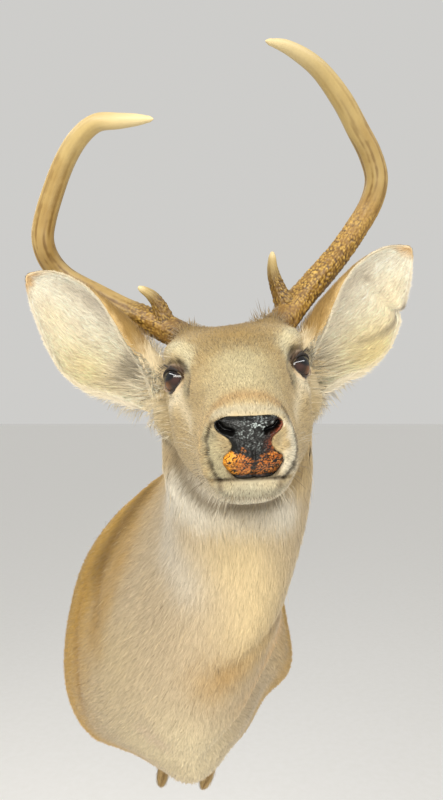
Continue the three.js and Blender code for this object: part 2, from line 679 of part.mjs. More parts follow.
export default mount;
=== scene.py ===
"""Dresses a whitetail deer shoulder mount: skin and coat, ears, antlers, eyes, nose, board and hanger.

The deer's own left is at +X, it looks along -Y from the wall at y = 0, and +Z is up.
Shapes are worked out in millimetres, and become metres when a mesh is made.
"""

import logging
import math
from dataclasses import dataclass, field
from enum import Enum

import bpy
import numpy as np
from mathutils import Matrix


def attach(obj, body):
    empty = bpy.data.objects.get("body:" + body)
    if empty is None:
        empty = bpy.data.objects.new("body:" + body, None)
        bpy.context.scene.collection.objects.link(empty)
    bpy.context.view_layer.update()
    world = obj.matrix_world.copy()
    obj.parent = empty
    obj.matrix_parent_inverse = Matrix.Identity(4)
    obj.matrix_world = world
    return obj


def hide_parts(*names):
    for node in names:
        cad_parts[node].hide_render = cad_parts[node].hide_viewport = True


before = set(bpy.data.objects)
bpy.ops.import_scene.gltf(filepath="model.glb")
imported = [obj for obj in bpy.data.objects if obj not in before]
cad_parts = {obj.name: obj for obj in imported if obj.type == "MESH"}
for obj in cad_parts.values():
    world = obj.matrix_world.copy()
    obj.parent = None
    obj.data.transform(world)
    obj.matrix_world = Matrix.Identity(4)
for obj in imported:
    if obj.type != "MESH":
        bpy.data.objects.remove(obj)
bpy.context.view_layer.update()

log = logging.getLogger("deer_mount")

Array = np.ndarray
Material = bpy.types.Material
Socket = bpy.types.NodeSocket
MM = 0.001  # metres in a millimetre
BODY = "root"
TURN = 2 * math.pi
PATCH = 0.003  # width of a tuft's patch on the unwrap of what it grows on


# ---- numbers and arrays
def unit(vectors: Array) -> Array:
    """Scales vectors to length one."""
    return vectors / np.maximum(np.linalg.norm(vectors, axis=-1, keepdims=True), 1e-9)


def size_of(vectors: Array) -> Array:
    """Length of each vector."""
    return np.linalg.norm(vectors, axis=-1)


def stacked(*parts: Array) -> Array:
    """Puts coordinates together into places or vectors."""
    return np.stack(parts, -1)


def clamp(x: Array) -> Array:
    """Keeps x between 0 and 1."""
    return np.clip(x, 0, 1)


def smooth(low: float, high: float, x: Array) -> Array:
    """Rises from 0 at low to 1 at high along 3t^2 - 2t^3."""
    t = clamp((x - low) / (high - low))
    return t * t * (3 - 2 * t)


def bell(x: Array, reach: float, power: float = 2) -> Array:
    """Falls from 1 at x = 0 along exp(-(x / reach)^power)."""
    return np.exp(-(x / reach) ** power)


def signed_power(x: Array, exponent: Array) -> Array:
    """Raises the size of x to a power and keeps its sign."""
    return np.sign(x) * np.abs(x) ** exponent


def along(table: tuple, x: Array) -> Array:
    """Reads a table of (x, y) pairs at x, along straight lines."""
    pairs = np.array(table, float)
    return np.interp(x, pairs[:, 0], pairs[:, 1])


def softened(table: tuple, x: Array) -> Array:
    """Reads a table by part of a length with its corners rounded: the mean of three near places."""
    return sum(along(table, x + shift) for shift in (-0.02, 0, 0.02)) / 3


def path_distance(points: Array, path: tuple) -> Array:
    """Distance from each point to the nearest of the straight lines that join a path's places."""
    nearest = np.inf
    places = np.array(path, float)
    for start, run in zip(places, np.diff(places, axis=0)):
        t = clamp((points - start) @ run / (run @ run))
        nearest = np.minimum(nearest, size_of(points - start - t[..., None] * run))
    return nearest


def near(points: Array, path: tuple, reach: float, power: float = 2) -> Array:
    """Falls from 1 on a path, along the bell of the distance from it."""
    return bell(path_distance(points, path), reach, power)


def smooth_rows(rows: Array, place: Array, closed: bool = False) -> Array:
    """Reads rows of numbers between whole places, along a smooth curve through them.

    Between rows b and c, with a before and d after, it is
    (2b + (c - a)t + (2a - 5b + 4c - d)t^2 + (3b - a - 3c + d)t^3) / 2.

    Args:
        rows: numbers, one row for each whole place.
        place: where to read, in rows.
        closed: whether the last row is followed by the first.

    Returns:
        One row for each place.
    """
    count = len(rows)
    if closed:
        index = np.floor(place).astype(int)
        a, b, c, d = (rows[(index + k) % count] for k in (-1, 0, 1, 2))
    else:
        index = np.clip(np.floor(place).astype(int), 0, count - 2)
        ends = np.vstack([2 * rows[:1] - rows[1:2], rows, 2 * rows[-1:] - rows[-2:-1]])
        a, b, c, d = (ends[index + k] for k in (0, 1, 2, 3))
    t = (place - index)[:, None]
    square, cube = 2 * a - 5 * b + 4 * c - d, 3 * b - a - 3 * c + d
    return 0.5 * (2 * b + (c - a) * t + square * t**2 + cube * t**3)


def ripple(points: Array, size: float, seed: int, octaves: int = 3) -> Array:
    """Smooth noise about zero: sines along random directions, each octave half as large and strong.

    Args:
        points: places to read it at.
        size: length of the largest waves.
        seed: which noise.
        octaves: how many sizes of wave.

    Returns:
        A value for each point, mostly between -1 and 1.
    """
    waves = 5
    rng = np.random.default_rng(seed)
    total = np.zeros(points.shape[:-1])
    for octave in range(octaves):
        turns = unit(rng.normal(size=(waves, 3))) * TURN * 2**octave / size
        phases = rng.uniform(0, TURN, waves)
        for turn, phase in zip(turns, phases):
            total += 0.5**octave * np.sin(points @ turn + phase)
    return total / (0.9 * waves)


def cells(across: Array, up: Array, seed: int) -> tuple[Array, Array]:
    """Round cells on a plane: each unit square has one centre at a random place in it.

    Args:
        across: first coordinate, in cells.
        up: second coordinate, in cells.
        seed: which set of centres.

    Returns:
        Distance to the nearest centre, and a random number of that cell from 0 to 1.
    """
    period = 64
    centres = np.random.default_rng(seed).uniform(0.1, 0.9, (period, period, 3))
    i, j = np.floor(across).astype(int), np.floor(up).astype(int)
    best = np.full(across.shape, 9.0)
    tone = np.zeros(across.shape)
    for di in (-1, 0, 1):
        for dj in (-1, 0, 1):
            centre = centres[(i + di) % period, (j + dj) % period]
            away = np.hypot(i + di + centre[..., 0] - across, j + dj + centre[..., 1] - up)
            tone = np.where(away < best, centre[..., 2], tone)
            best = np.minimum(best, away)
    return best, tone


def linear(colour: str) -> Array:
    """Turns a colour such as c8a46a into linear red, green and blue."""
    value = np.array([int(colour[k:k + 2], 16) for k in (0, 2, 4)]) / 255
    return np.where(value <= 0.04045, value / 12.92, ((value + 0.055) / 1.055) ** 2.4)


def mix(under: Array, over: Array, share: Array) -> Array:
    """Lays one colour over another, by a share for each point."""
    return under + (over - under) * share[..., None]


def paint(colour: Array, *coats: tuple[str, Array]) -> Array:
    """Lays several coats (colour, share) over some colours, one after another."""
    for over, share in coats:
        colour = mix(colour, linear(over), share)
    return colour


# ---- meshes
@dataclass
class Surface:
    """A surface in millimetres, with all that its piece carries."""

    points: Array  # places, one row each
    quads: Array = field(default_factory=lambda: np.zeros((0, 4), int))  # corners of faces with four sides
    triangles: Array = field(default_factory=lambda: np.zeros((0, 3), int))  # and with three
    markings: Array | None = None  # linear colours, one row for each point
    unwrap: Array | None = None  # UV map, one row for each corner of the quads and then of the triangles
    normals: Array | None = None  # directions that the points are lit from, where not the faces' own

    def outward(self) -> "Surface":
        """Turns the faces over if the volume that they hold comes out negative."""
        a, b, c, d = (self.points[self.quads[:, k]] for k in range(4))
        p, q, r = (self.points[self.triangles[:, k]] for k in range(3))
        if sum(np.einsum("ij,ij", x, np.cross(y, z)) for x, y, z in ((a, b, c), (a, c, d), (p, q, r))) < 0:
            flip = lambda rows, width: rows.reshape(-1, width, 2)[:, ::-1].reshape(-1, 2)
            if self.unwrap is not None:
                fours, threes = np.split(self.unwrap, [self.quads.size])
                self.unwrap = np.vstack([flip(fours, 4), flip(threes, 3)])
            self.quads, self.triangles = self.quads[:, ::-1], self.triangles[:, ::-1]
        return self

    def piece(self, name: str, slot: str, material: Material, nodes: tuple = ()) -> None:
        """Makes the surface an object of the mount.

        Args:
            name: name of the object.
            slot: the record's material slot that it stands for; not used.
            material: its finish.
            nodes: CAD nodes that it replaces.
        """
        mesh = bpy.data.meshes.new(name)
        corners = np.concatenate([self.quads.ravel(), self.triangles.ravel()])
        widths = np.repeat([4, 3], [len(self.quads), len(self.triangles)])
        mesh.vertices.add(len(self.points))
        mesh.vertices.foreach_set("co", (self.points * MM).astype(np.float32).ravel())
        mesh.loops.add(len(corners))
        mesh.loops.foreach_set("vertex_index", corners.astype(np.int32))
        mesh.polygons.add(len(widths))
        mesh.polygons.foreach_set("loop_start", (np.cumsum(widths) - widths).astype(np.int32))
        mesh.update(calc_edges=True)
        mesh.polygons.foreach_set("use_smooth", np.ones(len(widths), bool))
        layer = mesh.attributes.new("markings", "FLOAT_COLOR", "POINT")
        layer.data.foreach_set("color", np.insert(self.markings, 3, 1, axis=1).astype(np.float32).ravel())
        if self.unwrap is not None:
            mesh.uv_layers.new(name="OFBake").uv.foreach_set("vector", self.unwrap.astype(np.float32).ravel())
        if self.normals is not None:
            mesh.normals_split_custom_set_from_vertices(self.normals)
        mesh.materials.append(material)
        made = bpy.data.objects.new(name, mesh)
        bpy.context.scene.collection.objects.link(made)
        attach(made, BODY)
        if nodes:
            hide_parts(*nodes)
        log.info("%s: %d triangles", name, 2 * len(self.quads) + len(self.triangles))


def joined(a: Surface, b: Surface) -> Surface:
    """Puts two surfaces into one."""
    (fours_a, threes_a), (fours_b, threes_b) = (np.split(s.unwrap, [s.quads.size]) for s in (a, b))
    start = len(a.points)
    return Surface(
        np.vstack([a.points, b.points]), np.vstack([a.quads, b.quads + start]),
        np.vstack([a.triangles, b.triangles + start]), np.vstack([a.markings, b.markings]),
        np.vstack([fours_a, fours_b, threes_a, threes_b]))


def cell_corners(rows: int, columns: int) -> tuple[Array, Array]:
    """Rows and columns of the four corners of each cell of a grid."""
    i, j = np.meshgrid(np.arange(rows), np.arange(columns), indexing="ij")
    return stacked(i, i + 1, i + 1, i).reshape(-1, 4), stacked(j, j, j + 1, j + 1).reshape(-1, 4)


def rolled(grid: Array, markings: Array) -> Surface:
    """Closes a grid of rings into a solid: the columns join up, and a fan closes each end.

    Args:
        grid: places, by ring and then round the ring.
        markings: their colours.

    Returns:
        The solid, facing out, unwrapped on a square by ring and by way round.
    """
    rings, count = grid.shape[:2]
    last, tip = rings - 1, rings * count
    row, column = cell_corners(last, count)
    places = [stacked(row / last, column / count).reshape(-1, 2)]
    fans = []
    j = np.arange(count)
    for ring, middle, a, b in ((0, tip, j, j + 1), (last, tip + 1, j + 1, j)):
        fans.append(stacked(np.full(count, middle), ring * count + a % count, ring * count + b % count))
        places.append(stacked(np.full(3 * count, ring / last), stacked(j + 0.5, a, b).ravel() / count))
    points, colours = (np.vstack([g.reshape(-1, 3), g[0].mean(0), g[-1].mean(0)]) for g in (grid, markings))
    quads = row * count + column % count
    return Surface(points, quads, np.vstack(fans), colours, np.vstack(places)).outward()


@dataclass
class Sheet:
    """A grid of places with normals, which hair can be laid along."""

    points: Array  # places, by row and column
    normals: Array  # directions out of the surface
    wraps: bool  # whether the last column is followed by the first

    @classmethod
    def over(cls, points: Array, wraps: bool, outward: Array) -> "Sheet":
        """Makes a sheet with normals across its own rows and columns.

        Args:
            points: places, by row and column.
            wraps: whether the last column is followed by the first.
            outward: directions that the normals agree with on the whole.

        Returns:
            The sheet.
        """
        padded = np.concatenate([points[:, -1:], points, points[:, :1]], 1) if wraps else points
        round_it = np.gradient(padded, axis=1)[:, 1:-1] if wraps else np.gradient(padded, axis=1)
        normals = unit(np.cross(round_it, np.gradient(points, axis=0)))
        return cls(points, normals if np.einsum("ijk,ijk->", normals, outward) > 0 else -normals, wraps)

    def steps(self) -> tuple[Array, Array]:
        """Length of one step down the rows and along the columns, at each place of the grid."""
        down = size_of(np.gradient(self.points, axis=0))
        across = size_of(np.roll(self.points, -1, axis=1) - self.points)
        if not self.wraps:
            across[:, -1] = across[:, -2]
        return np.maximum(down, 0.05), np.maximum(across, 0.05)

    def read(self, layer: Array, i: Array, j: Array) -> Array:
        """Reads a layer of the grid between its places, in straight lines both ways.

        Args:
            layer: values on the grid.
            i: row, in parts of a row.
            j: column, in parts of a column.

        Returns:
            The values there.
        """
        rows, columns = layer.shape[:2]
        i = np.clip(i, 0, rows - 1.001)
        j = j % columns if self.wraps else np.clip(j, 0, columns - 1.001)
        low, left = np.floor(i).astype(int), np.floor(j).astype(int) % columns
        right = (left + 1) % columns
        s, t = i - low, j - np.floor(j)
        if layer.ndim == 3:
            s, t = s[:, None], t[:, None]
        top = layer[low, left] * (1 - t) + layer[low, right] * t
        return top * (1 - s) + (layer[low + 1, left] * (1 - t) + layer[low + 1, right] * t) * s


def spindles(line: tuple, out: Array, width: Array, colour: Array, spot: Array | None = None,
             flat: float = 0.9, shade: tuple = (1, 1, 1, 1, 1)) -> Surface:
    """Makes many slim closed tufts, each of six triangles.

    Each runs from a root, through a three-cornered ring at its belly, to a tip. The ring's corners
    are the belly plus width / 2 times (cos a sideways, flat * sin a outwards). They are lit as the
    skin is, so that the hair reads as one soft coat.

    Args:
        line: the root, belly and tip of each.
        out: the direction out of the skin.
        width: its greatest width.
        colour: its colour.
        spot: place of the root on the skin's unwrap, where its map has a patch.
        flat: its thickness as a part of its width.
        shade: brightness of its five points.

    Returns:
        The tufts, as one surface.
    """
    root, belly, tip = line
    side = unit(np.cross(tip - root, out))
    rise = unit(np.cross(side, tip - root))
    corners = (TURN / 4, TURN * 7 / 12, TURN * 11 / 12)
    swing = [math.cos(a) * side + flat * math.sin(a) * rise for a in corners]
    ring = [belly + (0.5 * width)[:, None] * way for way in swing]
    points = np.stack([root, *ring, tip], 1).reshape(-1, 3)
    normals = unit(np.stack([out, *(out + 0.4 * way for way in swing), out], 1)).reshape(-1, 3)
    pattern = np.array([[0, 1, 2], [0, 2, 3], [0, 3, 1], [4, 2, 1], [4, 3, 2], [4, 1, 3]])
    triangles = (pattern[None] + 5 * np.arange(len(root))[:, None, None]).reshape(-1, 3)
    markings = clamp(colour[:, None] * np.array(shade, float)[:, None]).reshape(-1, 3)
    tufts = Surface(points, triangles=triangles, markings=markings, normals=normals)
    if spot is not None:
        patch = PATCH * np.array([[-0.5, 0], [0, 0.5], [-0.1, -0.5], [0.2, 0], [0.5, 0]])
        places = (np.clip(spot, PATCH, 1 - PATCH)[:, None] + patch).reshape(-1, 2)
        tufts.unwrap = places[triangles.ravel()]
    return tufts


# ---- the head's frame
@dataclass(frozen=True)
class HeadFrame:
    """Axes of the head: x to the deer's left, f forward along the nose, z up, from between the eyes."""

    place: tuple = (81.4, -410, 398.5)  # the origin in the model
    pitch: float = 7.4  # nose below level, degrees
    yaw: float = 1.4  # turned to the deer's left, degrees
    roll: float = 7.0  # leaning with the left side higher, degrees
    untwist: float = 5.0  # how much of the lean is gone at the nose, degrees
    length: float = 170  # from the eyes to the nose

    def turn(self) -> Array:
        """Matrix from the head's axes to the model's: pitch about x, then yaw about z."""
        p, y = math.radians(self.pitch), math.radians(self.yaw)
        pitch = np.array([[1, 0, 0], [0, math.cos(p), -math.sin(p)], [0, math.sin(p), math.cos(p)]])
        yaw = np.array([[math.cos(y), -math.sin(y), 0], [math.sin(y), math.cos(y), 0], [0, 0, 1]])
        return yaw @ pitch

    def lean(self, f: Array) -> Array:
        """Lean at a place along the nose, in radians."""
        return np.radians(self.roll - clamp(f / self.length) * self.untwist)

    def to_model(self, points: Array) -> Array:
        """Takes points (x, f, z) of the head to the model."""
        x, f, z = np.moveaxis(np.asarray(points, float), -1, 0)
        c, s = np.cos(self.lean(f)), np.sin(self.lean(f))
        return stacked(c * x - s * z, -f, s * x + c * z) @ self.turn().T + self.place

    def from_model(self, points: Array) -> Array:
        """Takes points of the model to the head's axes (x, f, z)."""
        q = (np.asarray(points, float) - self.place) @ self.turn()
        f = -q[..., 1]
        c, s = np.cos(self.lean(f)), np.sin(self.lean(f))
        return stacked(c * q[..., 0] + s * q[..., 2], f, c * q[..., 2] - s * q[..., 0])

    def folded(self, points: Array) -> Array:
        """Takes points of the model to the head's axes, with its right side folded onto its left."""
        h = self.from_model(points)
        return np.concatenate([np.abs(h[..., :1]), h[..., 1:]], -1)


HEAD = HeadFrame()


@dataclass(frozen=True)
class EyePlan:
    """Where an eye lies and how its lids open, in the head's frame, for the deer's left eye."""

    centre: tuple = (53.6, 3.4, -1.5)  # middle of the ball
    radius: float = 18  # radius of the ball
    gaze: tuple = (0.766, 0.570, 0.297)  # where it looks
    slant: tuple = (-0.584, 0.789, 0.2)  # from the outer corner to the tear duct
    half_length: float = 16  # half the opening, from corner to corner
    upper: float = 8.8  # height of the upper lid's edge over the middle
    lower: float = 12.2  # depth of the lower lid's edge under it
    point: float = 1.7  # how pointed the corners are, 2 for an ellipse and less for a sharper almond

    def axes(self) -> Array:
        """Rows: along the opening towards the tear duct, up across it, and out along the gaze."""
        gaze = unit(np.array(self.gaze))
        across = unit(np.array(self.slant) - np.dot(self.slant, gaze) * gaze)
        return np.stack([across, np.cross(gaze, across), gaze])

    def local(self, left_points: Array) -> Array:
        """Takes points of the head, folded to its left side, to the eye's own axes."""
        return (left_points - self.centre) @ self.axes().T

    def oval(self, local: Array) -> Array:
        """Distance from the middle of the opening, 1 at the edge of the lids.

        It is (|a / half length|^p + |b / height|^p)^(1/p), with the upper or lower height.
        """
        height = np.where(local[..., 1] > 0, self.upper, self.lower)
        a = np.abs(local[..., 0] / self.half_length) ** self.point
        return (a + np.abs(local[..., 1] / height) ** self.point) ** (1 / self.point)

    def edge(self, angle: Array, grow: float = 0.0) -> Array:
        """Places on the ball, in the eye's axes, along the edge of the lids.

        Args:
            angle: way round the opening, 0 at the tear duct and a quarter turn at the top.
            grow: how far outside the ball.

        Returns:
            One place for each angle.
        """
        power = 2 / self.point
        a = self.half_length * signed_power(np.cos(angle), power)
        height = np.where(np.sin(angle) > 0, self.upper, self.lower)
        b = height * signed_power(np.sin(angle), power)
        out = np.sqrt(np.maximum(self.radius**2 - a**2 - b**2, 1))
        return unit(stacked(a, b, out)) * (self.radius + grow)

    @staticmethod
    def about(local: Array, reach: float, rear: float = -4) -> Array:
        """Whether places lie within reach of the ball's middle, and not too far to its rear."""
        return (local[..., 2] > rear) & (size_of(local) < reach)

    def to_model(self, local: Array, side: int) -> Array:
        """Takes places in the eye's axes to the model, on one side of the head."""
        return HEAD.to_model((local @ self.axes() + self.centre) * (side, 1, 1))


EYE = EyePlan()


class Side(Enum):
    """The deer's own sides, and which way each lies along x."""

    LEFT = 1
    RIGHT = -1

    @property
    def word(self) -> str:
        """The side's name in the names of pieces."""
        return self.name.lower()


# ---- head, neck and shoulders
@dataclass(frozen=True)
class BodyShape:
    """The shape of head, neck and shoulders, lofted between a top line and a bottom line."""

    # top (f, z), bottom (f, z), half width, egg, and the powers of the corners above and below, in the
    # head's frame
    head_sections: tuple = (
        (167, -36, 166, -44, 3, 0, 1, 1),
        (167, -22, 160, -63, 22, 0, 0.85, 0.85),
        (161, -10, 153, -79, 31, -0.04, 0.8, 0.85),
        (147, -2, 140, -87, 36, -0.08, 0.8, 0.8),
        (122, 7, 116, -93, 38.5, -0.1, 0.82, 0.76),
        (92, 17, 90, -105, 42.5, -0.08, 0.84, 0.74),
        (62, 27, 62, -113, 49, 0, 0.78, 0.74),
        (34, 36, 36, -118, 57, 0.06, 0.7, 0.76),
        (6, 43, 12, -120, 64, 0.1, 0.62, 0.8),
        (-24, 46, -10, -123, 70, 0.12, 0.58, 0.82),
        (-54, 46, -30, -125, 71, 0.09, 0.58, 0.86),
        (-84, 42, -46, -128, 74, 0.03, 0.68, 0.9),
        (-110, 28, -56, -134, 75, 0, 0.82, 0.95),
        (-128, 5, -63, -143, 79, 0, 0.95, 1))
    # top (x, y, z), bottom (x, y, z), half width left and right, egg, and the corners' power above, below on
    # the left and below on the right
    body_sections: tuple = (
        (88, -264, 400, 88, -346, 240, 82.5, 90, 0, 1, 1, 1),
        (87, -224, 366, 88, -352, 196, 85, 86, 0, 1, 1, 1),
        (78, -174, 332, 80, -352, 142, 86, 87, 0, 1, 1, 1),
        (56, -126, 304, 66, -346, 82, 90, 96, 0, 0.98, 1.05, 1),
        (30, -90, 280, 50, -326, 20, 105, 112, 0.03, 0.98, 1.15, 0.98),
        (10, -66, 264, 38, -284, -46, 125, 127, 0.02, 0.98, 1.4, 0.92),
        (2, -50, 253, 30, -212, -108, 145, 149, 0, 0.98, 1.45, 0.86),
        (2, -42, 248, 20, -120, -163, 159, 165, 0, 0.97, 1.4, 0.84),
        (2, -32, 250, 12, -36, -212, 172, 174, 0, 0.95, 1.3, 0.84),
        (3, -2, 246, 12, -2, -208, 170, 172, 0, 0.95, 1.3, 0.84))
    side_turn: int = 5  # body sections over which the head's sideways axis turns level
    # (x, z) of the shoulders near the wall
    outline: tuple = (
        (4, 246), (62, 222), (112, 178), (150, 112), (165, 34), (172, -46), (134, -92), (94, -155),
        (14, -211), (-74, -175), (-138, -147), (-172, -88), (-178, -6), (-158, 98), (-120, 171), (-65, 225))
    outline_from: float = 2.5  # body section where that outline begins to tell
    # ends (x, f, z), reach and height, on both sides of the head
    head_swells: tuple = (
        ((52, 8, 24), (60, -24, 26), 14, 7),  # brow
        ((50, 34, -14), (42, 50, -22), 9, -3.5),  # tear groove
        ((52, 4, -50), (48, -36, -84), 26, 5),  # cheek
        ((58, 22, -28), (66, -30, -22), 11, 3),  # cheek bone
        ((40, 92, -16), (42, 52, -30), 17, -4),  # hollow beside the nose
        ((32, 136, -46), (28, 148, -54), 14, 3),  # whisker pad
        ((46, -56, 44), (60, -68, 46), 18, 9),  # antler pedicle
        ((72, -88, -8), (88, -94, 0), 24, 13),  # root of the ear
        ((80, -82, -49), (88, -88, -36), 23, 24),  # its fleshy base, down to the cheek
        ((62, -84, -56), (56, -100, -100), 18, -4))  # hollow behind the jaw
    # the same in the model's axes, on one side
    body_swells: tuple = (
        ((150, -60, 40), (160, -90, -20), 40, 6),  # left shoulder
        ((146, -205, 35), (78, -275, -55), 26, -15),  # crease between brisket and left shoulder
        ((30, -215, -90), (25, -120, -160), 40, 8))  # brisket
    coat_depth: tuple = (  # how far the skin lies inside the tips of the coat, by section
        (0, 0.6), (3, 0.9), (7, 1.3), (10, 1.8), (13, 2.6), (16, 3.4), (23, 3.8))
    mouth: tuple = ((168, -63.5), (66, -83))  # (f, z) of the line of the lips, at its front and its corner

    def rows(self) -> Array:
        """All sections as rows: top, bottom and sideways vectors, half widths, egg and corner powers."""
        s = np.array(self.head_sections, float)
        zero, middle = np.zeros(len(s)), (s[:, 0] + s[:, 2]) / 2
        place = lambda x, f, z: HEAD.to_model(stacked(x, f, z))
        side = place(zero + 1, middle, zero) - place(zero, middle, zero)
        head = np.column_stack([
            place(zero, s[:, 0], s[:, 1]), place(zero, s[:, 2], s[:, 3]), side, s[:, [4, 4, 5, 6, 7, 7]]])
        b = np.array(self.body_sections, float)
        turn = clamp(np.arange(1, len(b) + 1) / self.side_turn)[:, None]
        level = unit(side[-1] * (1 - turn) + np.array([1.0, 0, 0]) * turn)
        return np.vstack([head, np.column_stack([b[:, :6], level, b[:, 6:]])])

    @property
    def last(self) -> int:
        """Place of the rear section."""
        return len(self.head_sections) + len(self.body_sections) - 1

    @staticmethod
    def sections(rows: Array, v: Array) -> Array:
        """Rings of points round the sections in some rows.

        With c = cos v and s = sin v, a point is the section's middle, plus half of top minus bottom
        times c to the corner's power, plus the sideways vector times the half width times s to that
        power times (1 + egg * c). Power and width blend round the ring.

        Args:
            rows: sections, as from rows().
            v: angles from the top towards the deer's left.

        Returns:
            Points, by section and angle.
        """
        top, bottom, side = (rows[:, None, k:k + 3] for k in (0, 3, 6))
        wide_left, wide_right, egg, above, below_left, below_right = (rows[:, None, k] for k in range(9, 15))
        c, s = np.cos(v)[None], np.sin(v)[None]
        left = 0.5 + 0.5 * np.tanh(3 * s)
        below = below_left * left + below_right * (1 - left)
        width = wide_left * left + wide_right * (1 - left)
        corner = above * (1 + c) / 2 + below * (1 - c) / 2
        return ((top + bottom) / 2 + (top - bottom) / 2 * signed_power(c, corner)[..., None]
                + side * (width * signed_power(s, corner) * (1 + egg * c))[..., None])

    def loft(self, u: Array, v: Array) -> Array:
        """Bare surface at section places u and angles v, before anything swells."""
        rows = self.rows()
        points = self.sections(smooth_rows(rows, u), v)
        share = smooth(len(self.head_sections) + self.outline_from, self.last - 1, u)[:, None]
        outline = smooth_rows(np.array(self.outline, float), v / TURN * len(self.outline), closed=True)
        wall = self.sections(rows[-2:-1], v)[0]
        points[..., 0] += share * (outline[:, 0] - wall[:, 0])
        points[..., 2] += share * (outline[:, 1] - wall[:, 2])
        return points

    def swell(self, points: Array) -> Array:
        """Height of all swellings at some points: each is height * exp(-(distance / reach)^2)."""
        total = np.zeros(points.shape[:-1])
        for swells, places in ((self.head_swells, HEAD.folded(points)), (self.body_swells, points)):
            for start, end, reach, height in swells:
                total += height * near(places, (start, end), reach)
        return total

    def lips(self, f: Array) -> Array:
        """Height z of the line of the lips at a place along the nose."""
        (f0, z0), (f1, z1) = self.mouth
        return z0 + (f0 - f) * (z1 - z0) / (f0 - f1)


SHAPE = BodyShape()


@dataclass(frozen=True)
class NosePlan:
    """The bare pad of the nose, in the head's frame."""

    # places z from the top edge to the lip
    heights: tuple = (-16.2, -18, -21, -25, -29, -33, -38, -43, -47, -52, -57, -61, -64.4, -65.6)
    # half width of the bare skin there
    half_widths: tuple = (12, 20, 25.5, 26.5, 24, 17, 14.8, 17, 22.6, 23.6, 21.4, 19, 16, 11)
    front: float = 168.5  # f of its most forward place
    proud: float = 1.5  # how far it stands out of the hair
    recess: float = 13.5  # how far the skin is sunk to hold it
    seat: float = 14  # how deep under its face the skin is moved to do so
    nostril: tuple = (17, -25.5)  # (x, z) of a nostril
    # how far its middle lies to the deer's left, by height
    drift: tuple = ((-62, 3.4), (-50, 3.1), (-40, 2.2), (-30, 0.6), (-20, 0))

    def face(self, x: Array, z: Array) -> Array:
        """How far forward the pad's face lies: it falls away to the sides, the top edge and the lip."""
        sides = 13 * (np.abs(x) / 30) ** 2.2
        top = 9 * clamp((z + 26) / 13) ** 2
        return self.front - sides - top - 12 * clamp((-48 - z) / 14) ** 1.6

    def half_width(self, z: Array) -> Array:
        """Half width of the pad at a height, along a smooth curve."""
        table = tuple(zip(self.heights[::-1], self.half_widths[::-1]))
        return sum(along(table, z + shift) for shift in (-0.9, -0.3, 0.3, 0.9)) / 4

    def inset(self, x: Array, z: Array) -> Array:
        """How far a place lies inside the pad's side edges, below 0 outside them."""
        return self.half_width(z) - np.abs(x - along(self.drift, z))


NOSE = NosePlan()


# places (x, f, z) of the dark line round the front of the muzzle, on the deer's right and left
MUZZLE_LINES = (
    ((-25.9, 158.8, -21), (-29.8, 157.7, -27.5), (-31.4, 156.5, -36), (-30.4, 158.8, -48.6),
     (-26.6, 160.8, -58.4), (-21.5, 154.7, -65)),
    ((28.2, 144, -16.3), (33.6, 146.2, -29.2), (37.2, 144.5, -42), (35.4, 152.4, -52.8),
     (29.8, 158.9, -59.9), (25, 153, -65.6)))
# places (x, y, z) along the three longest creases where the hide is gathered over the shoulders
NECK_CREASE = ((-78, -140, 205), (-85, -151, 180), (-94, -158, 155), (-97, -167, 130), (-98, -187, 108),
               (-96, -205, 85))
SIDE_CREASE = ((-118, -118, 150), (-131, -125, 106), (-136, -134, 64), (-130, -158, 32), (-124, -168, -4),
               (-117, -163, -46))
CHEST_CREASE = ((146, -150, 150), (140, -280, 128), (121, -316, 114), (104, -332, 100), (86, -338, 84),
                (64, -341, 77))
# (places, reach, height) of all creases
SHOULDER_FOLDS = (
    (NECK_CREASE, 7, -2.6),
    (SIDE_CREASE, 6, -2.4),
    (((-104, -160, 60), (-108, -176, 20), (-104, -186, -20)), 6, -1.6),
    (CHEST_CREASE, 8, -3.4),
    (((40, -150, -150), (-10, -120, -165)), 10, -2.0),
    (((-60, -110, -140), (-20, -140, -148)), 9, -2.0))


